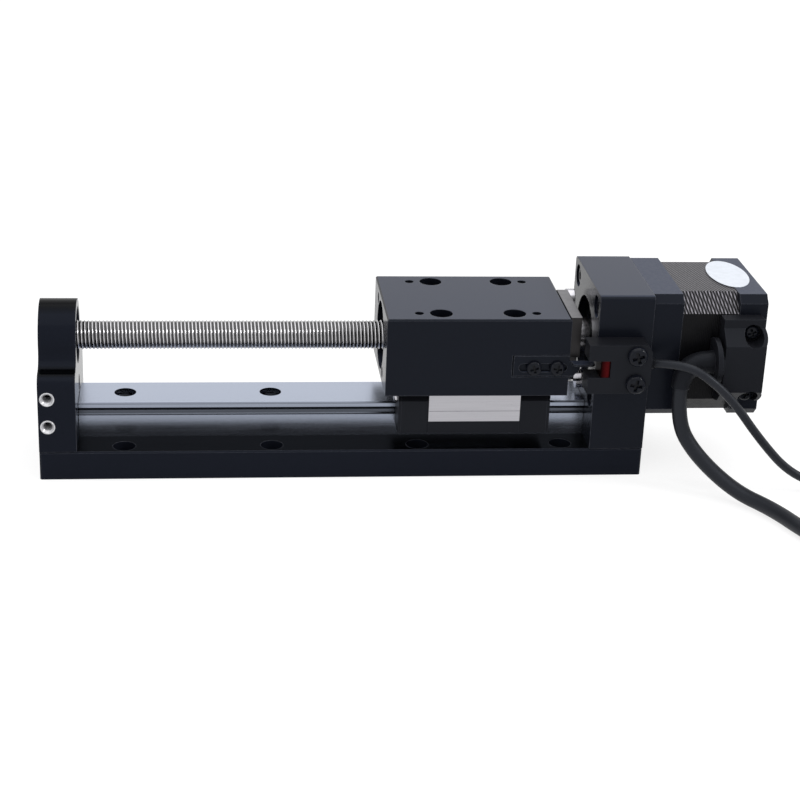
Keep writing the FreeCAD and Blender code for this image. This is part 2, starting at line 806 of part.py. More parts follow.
carriage = box(carriage_left, carriage_right, carriage_front, -carriage_front, carriage_bottom, carriage_top)
carriage = chamfered(carriage, edge_break, lambda edge: not runs_along(edge, UP) and edge.BoundBox.ZMin > axis_z)
flag_left = carriage_right - flag_recess_length
nut_seat_left = carriage_right - nut_seat_length
cuts = [
    rod_x(carriage_left, nut_seat_left, carriage_bore),
    rod_x(carriage_left, carriage_right, nut_body + 2 * seat_fit),
    box(flag_left, carriage_right, carriage_front, carriage_front + flag_thickness,
        axis_z + flag_recess_bottom, axis_z + flag_recess_top),
]
carriage_screw_seat = carriage_top - carriage_counterbore_depth
carriage_screw_places = []
for sx in (-1, 1):
    for sy in (-1, 1):
        x = carriage_middle + sx * carriage_screw_pitch / 2
        y = sy * carriage_screw_rows / 2
        carriage_screw_places.append((x, y))
        cuts.append(rod_z(carriage_bottom, carriage_top, m3_shank + 4 * screw_fit, x, y))
        cuts.append(rod_z(carriage_screw_seat, carriage_top, carriage_counterbore, x, y))
        x = carriage_middle + sx * tapped_pitch / 2
        cuts.append(rod_z(carriage_top - tapped_depth, carriage_top, tapped_size, x, y))
flange_screw_places = [(side * flange_screw_offset, axis_z + side * flange_screw_offset) for side in (-1, 1)]
for y, z in flange_screw_places:
    cuts.append(rod_x(carriage_left, carriage_right, m3_shank + 2 * screw_fit, y, z))
flag_screw_z = axis_z + flag_screw_drop
flag_screw_xs = [carriage_right - flag_screw_first, carriage_right - flag_screw_second]
flag_screw_reach = 4.0
recess_y = carriage_front + flag_thickness
for x in flag_screw_xs:
    cuts.append(rod_y(recess_y, recess_y + flag_screw_reach, m2_shank + 2 * screw_fit, x, flag_screw_z))
save("carriage_block", [carriage.cut(cuts)])

screws = []
for x, y in carriage_screw_places:
    seat = V(x, y, carriage_screw_seat)
    reach = carriage_screw_seat - carriage_bottom + guide_screw_depth - 0.3
    screws.append(cap_screw(UP * -1, seat, m3_shank, reach, m3_head, m3_head_height))
save("carriage_screws", screws)

# Guide block: a steel body astride the rail, with plastic strips and end caps

guide_half = guide_width / 2
steel_left = carriage_middle - guide_steel_length / 2
steel_right = carriage_middle + guide_steel_length / 2
channel_half = rail_width / 2 + rail_clearance
channel_top = rail_top + rail_clearance
leg_half = channel_half + guide_leg_width
strip_top = guide_bottom + guide_strip_height
half_profile = [
    (channel_half, channel_top), (channel_half, guide_bottom + 0.2), (leg_half, guide_bottom + 0.2),
    (leg_half, strip_top), (guide_half, strip_top), (guide_half, guide_top),
]
steel_profile = half_profile + [(-y, z) for y, z in reversed(half_profile)]
steel = prism_x(steel_profile, steel_left, steel_right)
cuts = []
for side in (-1, 1):
    cuts.append(rod_x(steel_left, steel_right, guide_ball + 2 * seat_fit, side * ball_y, groove_z))
    cuts.append(rod_x(steel_left, steel_right, return_bore, side * return_offset, base_height + return_rise))
    line_y = side * guide_half
    line_z = base_height + datum_line_rise
    cuts.append(box(steel_left, steel_right, line_y - datum_line / 2, line_y + datum_line / 2,
                    line_z - datum_line / 2, line_z + datum_line / 2))
for x, y in carriage_screw_places:
    cuts.append(rod_z(guide_top - guide_screw_depth, guide_top, m3_shank + 2 * screw_fit, x, y))
cap_screw_z = base_height + cap_screw_rise
cap_screw_ys = [-cap_screw_offset, cap_screw_offset]
m2_hole = m2_shank + 2 * screw_fit
for y in cap_screw_ys:
    cuts.append(rod_x(steel_left, steel_left + cap_screw_reach + 0.3, m2_hole, y, cap_screw_z))
    cuts.append(rod_x(steel_right - cap_screw_reach - 0.3, steel_right, m2_hole, y, cap_screw_z))
save("guide_block", [steel.cut(cuts)])

strips = []
for side in (-1, 1):
    inner = side * (leg_half + 0.1)
    outer = side * (guide_half - 0.1)
    strips.append(box(steel_left, steel_right, min(inner, outer), max(inner, outer), guide_bottom, strip_top))
save("guide_strips", strips)

cap_half = guide_half - end_cap_inset
cap_top = guide_top - end_cap_drop


def end_profile(clearance):
    inner = rail_width / 2 + clearance
    top = rail_top + clearance
    profile = [
        (inner, top), (inner, guide_bottom), (cap_half, guide_bottom), (cap_half, cap_top - 1.5),
        (cap_half - 1.5, cap_top),
    ]
    return profile + [(-y, z) for y, z in reversed(profile)]


caps = []
seals = []
screws = []
for side, face in ((-1, steel_left), (1, steel_right)):
    cap_face = face + side * end_cap_length
    seal_face = cap_face + side * seal_thickness
    holes = [rod_x(min(face, seal_face), max(face, seal_face), m2_hole, y, cap_screw_z) for y in cap_screw_ys]
    caps.append(prism_x(end_profile(running_gap), min(face, cap_face), max(face, cap_face)).cut(holes))
    seals.append(prism_x(end_profile(running_gap), min(cap_face, seal_face), max(cap_face, seal_face)).cut(holes))
    for y in cap_screw_ys:
        seat = V(seal_face, y, cap_screw_z)
        reach = end_cap_length + seal_thickness + cap_screw_reach
        screws.append(cap_screw(ALONG * -side, seat, m2_shank, reach, cap_screw_head, cap_screw_head_height))
save("guide_end_caps", caps)
save("guide_end_seals", seals)
save("guide_cap_screws", screws)

balls = []
row = (guide_balls_per_side - 1) * guide_ball_pitch
for side in (-1, 1):
    for i in range(guide_balls_per_side):
        x = carriage_middle - row / 2 + i * guide_ball_pitch
        balls.append(Part.makeSphere(guide_ball / 2, V(x, side * ball_y, groove_z)))
save("guide_balls", balls)

# Ball nut: a round body, and a flange with two flats and a square ear

nut_left = carriage_right - nut_body_length
body = rod_x(nut_left, carriage_right, nut_body)
flange = rod_x(carriage_right, flange_right, flange_size)
flange = flange.common(box(carriage_right, flange_right, -flange_size, flange_size,
                           axis_z - flange_flats / 2, axis_z + flange_flats / 2))
ear = box(carriage_right, flange_right, -ear_reach, 0, axis_z - ear_drop, axis_z + flange_flats / 2)
nut = body.multiFuse([flange, ear]).removeSplitter()
cuts = [
    rod_x(nut_left, flange_right, screw_size + 2 * nut_gap),
    rod_x(nut_left, nut_left + wiper_thickness, wiper_size + 2 * seat_fit),
    rod_x(flange_right - wiper_thickness, flange_right, wiper_size + 2 * seat_fit),
]
for y, z in flange_screw_places:
    cuts.append(rod_x(carriage_right, flange_right, m3_shank + 2 * screw_fit, y, z))
save("ball_nut", [nut.cut(cuts)])
wipers = [ring_x(x, x + wiper_thickness, wiper_size, screw_size + 2 * screw_fit)
          for x in (nut_left, flange_right - wiper_thickness)]
save("nut_wipers", wipers)
screws = []
for y, z in flange_screw_places:
    reach = flange_thickness + flange_screw_reach
    screws.append(cap_screw(ALONG * -1, V(flange_right, y, z), m3_shank, reach, flange_head, flange_head_height))
save("flange_screws", screws)

# Home flag: a thin plate set flush in the carriage, with a tab bent outwards

plate_front = carriage_front
flag_end = carriage_right + flag_reach
flag_low = axis_z + flag_recess_bottom + 0.2
flag_profile = [
    (flag_left + flag_play, flag_low),
    (flag_end - 1.7, flag_low),
    (flag_end, flag_low + 2.2),
    (flag_end, axis_z + flag_tab_top),
    (carriage_right, axis_z + flag_tab_top),
    (carriage_right, axis_z + flag_recess_top - 0.2),
    (flag_left + flag_play, axis_z + flag_recess_top - 0.2),
]
flag = prism_y(flag_profile, plate_front, plate_front + flag_thickness)
tab_end = flag_end + flag_tab_reach
tab_top = axis_z + flag_tab_top
tab = box(tab_end - flag_tab_length, tab_end, plate_front - flag_tab_depth, plate_front + flag_thickness,
          tab_top - flag_tab_thickness, tab_top)
tab = chamfered(tab, 0.8, lambda edge: runs_along(edge, UP) and edge.BoundBox.YMax < plate_front)
slot_left = flag_left + flag_play + flag_slot_inset
slot_right = slot_left + flag_slot_length
slot_half = flag_slot / 2
slot = box(slot_left + slot_half, slot_right - slot_half, plate_front, plate_front + flag_thickness,
           flag_screw_z - slot_half, flag_screw_z + slot_half)
slot_ends = [rod_y(plate_front, plate_front + flag_thickness, flag_slot, x, flag_screw_z)
             for x in (slot_left + slot_half, slot_right - slot_half)]
save("sensor_flag", [flag.fuse(tab).removeSplitter().cut([slot] + slot_ends)])
screws = []
for x in flag_screw_xs:
    seat = V(x, plate_front, flag_screw_z)
    reach = flag_thickness + flag_screw_reach - 0.4
    screws.append(cap_screw(ACROSS, seat, m2_shank, reach, flag_head, flag_head_height))
save("flag_screws", screws)

# Photo sensor: a fork whose slot takes the flag's tab

sensor_end = sensor_start + sensor_length
sensor_front = mount_front - sensor_depth
sensor_profile = [
    (sensor_start, axis_z + sensor_bottom),
    (sensor_end - sensor_slant, axis_z + sensor_bottom),
    (sensor_end, axis_z + sensor_bottom + sensor_slant * 1.4),
    (sensor_end, axis_z + sensor_top - sensor_slant),
    (sensor_end - sensor_slant * 0.6, axis_z + sensor_top),
    (sensor_start, axis_z + sensor_top),
    (sensor_start, axis_z + slot_top),
    (sensor_start + slot_length + window_length, axis_z + slot_top),
    (sensor_start + slot_length + window_length, axis_z + slot_bottom),
    (sensor_start, axis_z + slot_bottom),
]
sensor = prism_y(sensor_profile, sensor_front, mount_front)
cuts = [rod_y(sensor_front, mount_front, m3_shank + 4 * screw_fit, sensor_screw_x, z) for z in sensor_screw_zs]
exit_from = V(*sensor_route[0])
exit_along = (V(*sensor_route[1]) - exit_from).normalize()
gland_length = 3.4
gland_from = exit_from - exit_along * gland_length
gland = Part.makeCone(sensor_gland_size / 2, sensor_cable / 2 + 0.35, gland_length, gland_from, exit_along)
save("photo_sensor", [sensor.cut(cuts + [gland])])
window = box(sensor_start + slot_length, sensor_start + slot_length + window_length, sensor_front + running_gap,
             mount_front - running_gap, axis_z + slot_bottom, axis_z + slot_top)
save("sensor_window", [window])
save("sensor_cable_gland", [gland])
screws = []
for z in sensor_screw_zs:
    reach = sensor_depth + sensor_screw_reach
    screws.append(cap_screw(ACROSS, V(sensor_screw_x, sensor_front, z), m3_shank, reach, pan_head, pan_head_height))
save("sensor_screws", screws)


# Cables: straight runs joined by arcs that touch both runs, a neat coil for
# the rest of the length, and a plug at the end

def cable(name, route, size):
    points = [V(*place) for place in route]
    last = (points[-1] - points[-2]).normalize()
    edges = []
    start = points[0]
    radii = []
    for i in range(1, len(points) - 1):
        before = points[i] - points[i - 1]
        after = points[i + 1] - points[i]
        half_turn = before.getAngle(after) / 2
        setback = 0.45 * min(before.Length, after.Length)
        radius = setback / math.tan(half_turn)
        radii.append(round(radius / size, 1))
        before = before.normalize()
        after = after.normalize()
        enter = points[i] - before * setback
        leave_at = points[i] + after * setback
        inward = (after - before).normalize()
        middle = points[i] + inward * (radius / math.cos(half_turn) - radius)
        edges.append(Part.LineSegment(start, enter).toShape())
        edges.append(Part.Arc(enter, middle, leave_at).toShape())
        start = leave_at
    edges.append(Part.LineSegment(start, points[-1]).toShape())
    path = Part.Wire(edges)
    section = Part.Wire(Part.makeCircle(size / 2, points[0], points[1] - points[0]))
    tube = path.makePipeShell([section], True, False)
    expected = math.pi * size * size / 4 * path.Length
    print(name, "bend radii in diameters", radii, "length", round(path.Length, 1),
          "volume over section times length", round(tube.Volume / expected, 4))
    save(name, [tube])
    return points[-1], last


def coil(name, arrive, heading, radius, strands, lead, tail, tail_end, cord, plug_name, plug):
    # Turns wound counter-clockwise, each at its own place in the bundle, drawn
    # as one band around them. The free end leaves the last turn for the plug.
    flat = V(heading.x, heading.y, 0).normalize()
    left = V(-flat.y, flat.x, 0)
    start = V(arrive.x, arrive.y, 0) + flat * lead
    centre = start + left * (radius + strands[0][0])
    bottom = sorted([strand for strand in strands if strand[1] == strands[0][1]])
    top = sorted([strand for strand in strands if strand[1] > strands[0][1]], reverse=True)
    corners = [V(centre.x + radius + across, centre.y, rise)
               for across, rise in [bottom[0], bottom[-1]] + top]
    core = Part.Face(Part.makePolygon(corners + corners[:1]))
    band = core.makeOffset2D(cord / 2).revolve(centre, UP, 360)
    last_across, last_rise = strands[-1]
    tail_from = V(centre.x + radius + last_across, centre.y, last_rise)
    tail_to = V(tail_from.x, tail_from.y + tail, tail_end)
    run = tail_to - tail_from
    free_end = Part.makeCylinder(cord / 2, run.Length + cord, tail_from, run)
    width, length, height = plug
    seat = tail_to
    beyond = box(seat.x - width, seat.x + width, seat.y, seat.y + 2 * cord, 0, 2 * height)
    save(name, [band.fuse(free_end.cut(beyond))])
    housing = box(seat.x - width / 2, seat.x + width / 2, seat.y, seat.y + length, 0, height)
    housing = chamfered(housing, 0.5, lambda edge: runs_along(edge, ACROSS))
    mouth = box(seat.x - width / 2 + 1, seat.x + width / 2 - 1, seat.y + length - 4, seat.y + length, 1, height - 1)
    latch = box(seat.x - width / 6, seat.x + width / 6, seat.y + 1, seat.y + length - 2, height, height + 0.9)
    save(plug_name, [housing.cut(mouth).fuse(latch).removeSplitter()])
    print(name, "centre", round(centre.x, 2), round(centre.y, 2))


end_point, heading = cable("motor_cable", motor_route, motor_cable)
coil("motor_cable_coil", end_point, heading, motor_coil_radius, motor_strands, motor_coil_lead,
     motor_tail, motor_tail_end, motor_cable, "motor_connector", motor_plug)
end_point, heading = cable("sensor_cable", sensor_route, sensor_cable)
coil("sensor_cable_coil", end_point, heading, sensor_coil_radius, sensor_strands, sensor_coil_lead,
     sensor_tail, sensor_tail_end, sensor_cable, "sensor_connector", sensor_plug)
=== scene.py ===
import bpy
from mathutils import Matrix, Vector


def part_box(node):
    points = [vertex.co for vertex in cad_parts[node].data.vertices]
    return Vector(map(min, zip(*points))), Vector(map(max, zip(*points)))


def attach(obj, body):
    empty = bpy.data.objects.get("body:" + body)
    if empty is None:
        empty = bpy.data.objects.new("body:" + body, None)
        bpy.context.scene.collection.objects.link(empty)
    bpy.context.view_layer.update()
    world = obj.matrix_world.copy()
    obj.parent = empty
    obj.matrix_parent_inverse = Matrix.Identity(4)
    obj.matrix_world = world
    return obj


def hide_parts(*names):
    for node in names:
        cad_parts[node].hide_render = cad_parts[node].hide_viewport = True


bl_info = {
    "name": "Ball screw linear actuator",
    "version": (1, 0, 0),
    "blender": (4, 5, 0),
    "location": "View3D > Sidebar > Actuator",
    "description": "Finishes a ball screw linear actuator over its packed frame",
    "category": "Object",
}

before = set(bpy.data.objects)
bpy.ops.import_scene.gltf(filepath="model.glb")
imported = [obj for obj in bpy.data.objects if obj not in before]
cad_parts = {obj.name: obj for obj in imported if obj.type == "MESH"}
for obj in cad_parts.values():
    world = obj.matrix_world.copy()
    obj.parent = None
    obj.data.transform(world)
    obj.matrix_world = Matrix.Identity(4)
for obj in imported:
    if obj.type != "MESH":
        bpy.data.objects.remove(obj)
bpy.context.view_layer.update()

import math

import bmesh
import bpy
from bpy.props import FloatProperty, FloatVectorProperty, PointerProperty
from mathutils import Matrix, Vector

SCREW_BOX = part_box("ball_screw")
AXIS_Z = (SCREW_BOX[0].z + SCREW_BOX[1].z) / 2
MM = 0.001

# Camera: turns in radians, place in metres, focal length in pixels of the picture
CAMERA_YAW = 0.115741
CAMERA_PITCH = 0.393831
CAMERA_ROLL = 0.0404116
CAMERA_PLACE = (-0.040386, -0.488789, 0.219799)
FOCAL_PIXELS = 1895.107
PICTURE_PIXELS = 800
FILM_WIDTH = 36.0

# Floor, in metres, and how it looks to rays that see it: share of its own tone, and glow
FLOOR_HALF = 3.0
FLOOR_DROP = 0.0002
FLOOR_SEEN_TONE = 0.30
FLOOR_SEEN_GLOW = 0.81

# Lamps: place, width and height in metres, and the setting that holds the power
LAMPS = (
    ("overhead", (0.0, 0.0, 1.0), 1.6, 1.2, "key_power"),
    ("left", (-0.85, -0.45, 0.40), 0.6, 0.6, "left_power"),
    ("right", (0.86, -0.30, 0.58), 0.22, 0.22, "right_power"),
)
LAMP_TARGET = Vector((0.02, 0.0, 0.02))

# Free cables, in mm: the route from the boot to the coil, point by point
MOTOR_ROUTE = (
    (90.4, -22.4, 28.1), (90.0, -23.2, 18.6), (95.0, -27.2, 10.2), (104.6, -35.2, 2.8),
    (112.6, -45.4, 2.2), (117.6, -58.6, 2.2), (124.4, -71.2, 2.2),
)
SENSOR_ROUTE = (
    (82.6, -22.0, 35.0), (87.4, -25.2, 36.0), (93.4, -29.4, 35.6), (102.4, -30.6, 28.2),
    (111.5, -30.5, 16.1), (121.4, -30.0, 5.4), (133.0, -30.4, 1.3), (145.0, -29.6, 1.3),
)
# The coil's strands in the order that the cable fills them: offset from the coil's radius, and height
MOTOR_STRANDS = ((2.15, 2.2), (-2.15, 2.2), (0.0, 5.95))
SENSOR_STRANDS = ((2.45, 1.3), (0.0, 1.3), (-2.45, 1.3), (-1.25, 3.45), (1.25, 3.45))
# After the route: straight run into the coil, angle in degrees where the turns end, length of the
# tail that follows them, and height of the plug at its end
MOTOR_LAY = (14.0, 1080.0, 30.0, 3.2)
SENSOR_LAY = (8.5, 1800.0, 22.0, 2.7)
# The tail: share of its length, rise in diameters, and share of the way to the plug's height
TAIL_SHAPE = ((0.18, 0.10, 0.0), (0.40, 0.06, 0.0), (0.62, 0.0, 0.45), (0.82, 0.0, 1.0), (1.0, 0.0, 1.0))
POINTS_PER_TURN = 20
# Share of a turn in which the cable passes over to the next strand
STRAND_CHANGE = 0.2

# Ball screw, in metres: the core lies a little deeper than the groove, as a share of its depth
JOURNAL_RADIUS = 0.003
CLIP_GROOVE_RADIUS = 0.0027
TAIL_RADIUS = 0.0025
SCREW_CHAMFER = 0.00035
SHOULDER_GAP = 0.0001
CORE_SINK = 1.02
# One turn of its thread: share of the lead, and share of the groove's depth
THREAD_SHAPE = ((0.0, 0.0), (0.16, 0.0), (0.32, 0.72), (0.58, 1.0), (0.84, 0.72))
THREAD_SIDES = 28
# Depths below the crests at which its steel turns from bright to the painted shade of the groove
CREST_BRIGHT = 0.00006
CREST_DARK = 0.00030

# Bands of painted shade on the rail's sides, in metres: middle below the top, half height, and how dark. The
# first darkens the ball groove and the second the broken top edge
RAIL_BANDS = ((0.0026, 0.00112, 0.80), (0.00030, 0.00024, 0.6))

# Motor stack: pitch of the sheets and of the dots on top, and direction and pitch of the two
# rows of streaks that make the cut corners uneven, in metres
SHEET_PITCH = 0.0005
DOT_PITCH = 0.0009
DOT_LEAN = 0.8
STREAKS = ((1, 0, 0.34), 0.00084)
UNEVEN_STREAKS = ((1, 0, -0.22), 0.00119)

LEAST_ROUGHNESS = 0.02
BUMP_DISTANCE = 0.0001

# Points around a screw head, an insert or the screw's core
ROUND_POINTS = 48

# Screws: head radius and height, shank radius, drive and its size, in mm
SCREW_KINDS = {
    "m4_cap": (3.5, 4.0, 2.0, "socket", 3.0),
    "m3_cap": (2.75, 3.0, 1.5, "socket", 2.5),
    "m3_low_cap": (2.65, 2.3, 1.5, "socket", 2.5),
    "m3_tie": (2.75, 3.0, 1.5, "cross", 3.2),
    "m3_pan": (2.7, 1.8, 1.5, "cross", 3.5),
    "m2_pan": (2.05, 1.2, 1.0, "cross", 2.4),
    "m2_high_pan": (2.0, 1.4, 1.0, "cross", 2.4),
    "m2_small": (1.6, 0.9, 1.0, "cross", 2.0),
}
# Heads from the seat up: share of the radius, and share of the height
CAP_OUTLINE = ((1.0, 0.0), (1.0, 0.93), (0.95, 1.0))
PAN_OUTLINE = ((1.0, 0.0), (1.0, 0.42), (0.95, 0.68), (0.84, 0.88), (0.68, 1.0))
# Sockets: depth as a share of the head's height, lip as a share of its radius, width of the mouth
# as a share of the size, then rows with the share of the size and the share of the depth
SOCKET_DEPTH = 0.55
SOCKET_LIP = 0.04
SOCKET_MOUTH = 0.64
SOCKET_SHAPE = ((1.0, 0.0), (1.0, 1.0), (0.5, 1.12))
# Crosses: the same, with the lip in mm, and the arms' length and half width as shares of half the
# size. Their middle is at least as wide as this share of an arm
CROSS_DEPTH = 0.6
CROSS_LIP = 0.02
CROSS_MOUTH = 1.02
CROSS_SHAPE = ((0.97, 0.27, 0.0), (0.80, 0.22, 1.0), (0.2, 0.1, 1.1))
CROSS_MIDDLE = 1.25
# Turn of the first screw of a set, and what each next one adds, in radians
FIRST_TURN = 0.3
NEXT_TURN = 1.1

UP, DOWN, FRONT = (0, 0, 1), (0, 0, -1), (0, -1, 0)
TO_FREE_END, TO_MOTOR = (-1, 0, 0), (1, 0, 0)
# The motor's screws stand on a 26 mm square around the axis, which lies at 35 mm
MOTOR_CORNERS = [(y, 35 + z) for y in (-13, 13) for z in (-13, 13)]
# Sets of screws: node, body, finish, kind, shank length, direction the heads face, places in mm
SCREW_SETS = (
    ("rail_screws", "frame", "oxide", "m3_cap", 10.0, UP, [(x, 0, 13.5) for x in (-60, -20, 20, 60)]),
    ("carriage_screws", "carriage", "oxide", "m3_cap", 14.0, UP,
     [(x, y, 34.0) for x in (25.2, 45.2) for y in (-13, 13)]),
    ("motor_mounting_screws", "frame", "oxide", "m3_cap", 15.0, TO_FREE_END,
     [(71.0, *corner) for corner in MOTOR_CORNERS]),
    ("motor_tie_screws", "frame", "oxide", "m3_tie", 22.0, TO_MOTOR,
     [(110.7, *corner) for corner in MOTOR_CORNERS]),
    ("end_block_screws", "frame", "oxide", "m4_cap", 10.0, DOWN, [(-77.5, y, 4.5) for y in (-10, 10)]),
    ("mount_screws", "frame", "oxide", "m4_cap", 10.0, DOWN, [(75.0, y, 4.5) for y in (-10, 10)]),
    ("flange_screws", "carriage", "bright", "m3_low_cap", 10.0, TO_MOTOR, [(63.2, -8, 27), (63.2, 8, 43)]),
    ("flag_screws", "carriage", "oxide", "m2_pan", 4.0, FRONT, [(50.5, -18, 32.1), (56.9, -18, 32.1)]),
    ("sensor_screws", "frame", "oxide", "m3_pan", 11.0, FRONT,
     [(77.2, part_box("photo_sensor")[0].y / MM, z) for z in (38, 30)]),
    ("cover_screws", "frame", "oxide", "m2_high_pan", 5.0, FRONT, [(109.2, -19.5, z) for z in (43.2, 25.3)]),
)
# Screws of the guide's end caps, in metres: distance to the middle, height, and shank length in mm
CAP_SCREW_Y = 0.0103
CAP_SCREW_Z = 0.0208
CAP_SCREW_SHANK = 11.0

# Tapped inserts, in mm: wall, broken edge, lip, which is as wide as the lead-in is deep, and width
# of the lead-in
INSERT_WALL = 0.75
INSERT_EDGE = 0.05
INSERT_LIP = 0.30
INSERT_LEAD_IN = 0.22
# Their thread: pitch, depth that it leaves free, and rows with the depth and the cut past the bore
INSERT_PITCH = 0.45
INSERT_FREE = 0.6
INSERT_THREAD = ((0.55, 0.0), (0.78, 0.2))

NODE_FINISHES = {
    "base": ("base_plate", "free_end_block"),
    "anodised": ("motor_mount", "carriage_block", "sensor_flag"),
    "cast": ("motor_front_cap", "motor_rear_cap"),
    "rail": ("linear_rail",),
    "guide": ("guide_block",),
    "bearing": ("free_bearing_outer", "fixed_bearing_outers", "motor_bearing_outers", "free_bearing_inner",
                "fixed_bearing_inners", "motor_bearing_inners", "bearing_ball_cages", "guide_balls",
                "rotor_shaft", "screw_collar"),
    "flange": ("ball_nut",),
    "oxide": ("bearing_retainer", "shaft_clip", "lock_nut"),
    "bright": ("end_stops",),
    "stack": ("motor_stator", "rotor_cups"),
    "copper": ("motor_windings",),
    "magnet": ("rotor_magnet",),
    "plastic": ("guide_strips", "guide_end_caps", "guide_end_seals", "nut_wipers", "cable_cover",
                "cable_gland"),
    "sensor": ("photo_sensor",),
    "lens": ("sensor_window",),
    "label": ("blank_label",),
    "jacket": ("sensor_cable_gland",),
    "plug": ("motor_connector", "sensor_connector"),
}


# ---------- sizes and colours ----------

class ActuatorScrewSizes(bpy.types.PropertyGroup):
    """Sizes of the ball screw's thread"""
    thread_diameter: FloatProperty(
        name="Thread diameter", description="Outside diameter of the thread",
        default=SCREW_BOX[1].z - SCREW_BOX[0].z, unit="LENGTH")
    lead: FloatProperty(name="Lead", description="Travel of the nut per turn", default=0.001, unit="LENGTH")
    groove_depth: FloatProperty(
        name="Groove depth", description="Depth of the ball groove", default=0.00036, unit="LENGTH")


class ActuatorCableSizes(bpy.types.PropertyGroup):
    """Sizes of the two free cables"""
    motor_diameter: FloatProperty(
        name="Motor cable", description="Outside diameter of the motor cable", default=0.0042,
        unit="LENGTH")
    sensor_diameter: FloatProperty(
        name="Sensor cable", description="Outside diameter of the sensor cable", default=0.0024,
        unit="LENGTH")
    motor_coil_radius: FloatProperty(
        name="Motor coil", description="Middle radius of the motor cable's coil", default=0.023,
        unit="LENGTH")
    sensor_coil_radius: FloatProperty(
        name="Sensor coil", description="Middle radius of the sensor cable's coil", default=0.0132,
        unit="LENGTH")


class ActuatorColours(bpy.types.PropertyGroup):
    """Colours of the finishes"""
    anodised: FloatVectorProperty(
        name="Anodised black", description="Black anodised aluminium",
        default=(0.0065, 0.0077, 0.0120), size=3, subtype="COLOR", min=0, max=1)
    # Painted highlight: a paler tone along edges, in place of the light that they catch
    edge: FloatVectorProperty(
        name="Painted edge highlight colour", description="Paler tone along the edges of anodised parts",
        default=(0.10, 0.105, 0.125), size=3, subtype="COLOR", min=0, max=1)
    rail: FloatVectorProperty(
        name="Rail steel", description="Ground top of the rail",
        default=(0.43, 0.475, 0.58), size=3, subtype="COLOR", min=0, max=1)
    guide: FloatVectorProperty(
        name="Guide steel", description="Ground guide block",
        default=(0.40, 0.395, 0.42), size=3, subtype="COLOR", min=0, max=1)
    screw: FloatVectorProperty(
        name="Screw steel", description="Crests of the ball screw",
        default=(0.56, 0.555, 0.57), size=3, subtype="COLOR", min=0, max=1)
    lamination: FloatVectorProperty(
        name="Laminations", description="Motor stack",
        default=(0.060, 0.058, 0.064), size=3, subtype="COLOR", min=0, max=1)
    plastic: FloatVectorProperty(
        name="Black plastic", description="Covers, strips and cable jackets",
        default=(0.009, 0.0095, 0.012), size=3, subtype="COLOR", min=0, max=1)
    lens: FloatVectorProperty(
        name="Red window", description="Sensor's indicator window",
        default=(0.068, 0.004, 0.005), size=3, subtype="COLOR", min=0, max=1)
    label: FloatVectorProperty(
        name="Bare label", description="Oval label on the motor",
        default=(0.72, 0.76, 0.83), size=3, subtype="COLOR", min=0, max=1)


class ActuatorStage(bpy.types.PropertyGroup):
    """Floor and lamps"""
    floor: FloatVectorProperty(
        name="Floor", description="Pale studio floor",
        default=(0.93, 0.93, 0.94), size=3, subtype="COLOR", min=0, max=1)
    sky: FloatProperty(name="Sky", description="Level of the soft light from all sides", default=0.55)
    key_power: FloatProperty(
        name="Overhead lamp", description="Power of the large lamp above", default=7.0, unit="POWER")
    left_power: FloatProperty(
        name="Left lamp", description="Power of the soft lamp on the left", default=0.7, unit="POWER")
    right_power: FloatProperty(
        name="Right lamp", description="Power of the small lamp that gives the highlights", default=2.6,
        unit="POWER")


# ---------- mesh helpers ----------

def around(radius_at, height):
    """Closed row of points around Z, at a radius that depends on the turn."""
    points = []
    for i in range(ROUND_POINTS):
        turn = 2 * math.pi * i / ROUND_POINTS
        radius = radius_at(turn)
        points.append(Vector((radius * math.cos(turn), radius * math.sin(turn), height)))
    return points


def ring(radius, height):
    return around(lambda turn: radius, height)


def hexagon(across, height):
    def radius_at(turn):
        off_flat = (turn % (math.pi / 3)) - math.pi / 6
        return across / 2 / math.cos(off_flat)
    return around(radius_at, height)


def cross(reach, half_width, height):
    def radius_at(turn):
        off_arm = (turn + math.pi / 4) % (math.pi / 2) - math.pi / 4
        radius = reach / math.cos(off_arm)
        if abs(off_arm) > 1e-6:
            radius = min(radius, half_width / abs(math.sin(off_arm)))
        return max(radius, half_width * CROSS_MIDDLE)
    return around(radius_at, height)


def loft(bm, rings, matrix=None, closed=True):
    """Skin over rows of points that all have the same count, in metres."""
    made = []
    for points in rings:
        placed = [matrix @ point if matrix else point for point in points]
        made.append([bm.verts.new(point) for point in placed])
    count = len(made[0])
    for low, high in zip(made, made[1:]):
        for i in range(count):
            j = (i + 1) % count
            bm.faces.new((low[i], low[j], high[j], high[i]))
    if closed:
        bm.faces.new(list(reversed(made[0])))
        bm.faces.new(made[-1])


def in_metres(rings):
    return [[point * MM for point in points] for points in rings]


def outward(place, direction):
    """Matrix that sets a piece made along +Z at a place, facing a direction."""
    turn = Vector((0, 0, 1)).rotation_difference(Vector(direction).normalized())
    return Matrix.Translation(Vector(place)) @ turn.to_matrix().to_4x4()


def add_object(name, data):
    piece = bpy.data.objects.new(name, data)
    bpy.context.scene.collection.objects.link(piece)
    return piece


def finish_mesh(name, bm, material, body, replaced=(), sharp=32):
    """Turn a bmesh into a piece; edges steeper than sharp, in degrees, stay crisp."""
    bmesh.ops.recalc_face_normals(bm, faces=bm.faces)
    mesh = bpy.data.meshes.new(name)
    bm.to_mesh(mesh)
    bm.free()
    mesh.shade_smooth()
    mesh.set_sharp_from_angle(angle=math.radians(sharp))
    piece = add_object(name, mesh)
    piece.data.materials.append(material)
    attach(piece, body)
    if replaced:
        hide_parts(*replaced)
    return piece


# ---------- node helpers ----------

def node(tree, kind, **settings):
    made = tree.nodes.new(kind)
    for key, value in settings.items():
        setattr(made, key, value)
    return made


def feed(tree, socket, value):
    """Link an input to another socket, or set it to a plain value."""
    if isinstance(value, bpy.types.NodeSocket):
        tree.links.new(value, socket)
    else:
        socket.default_value = value


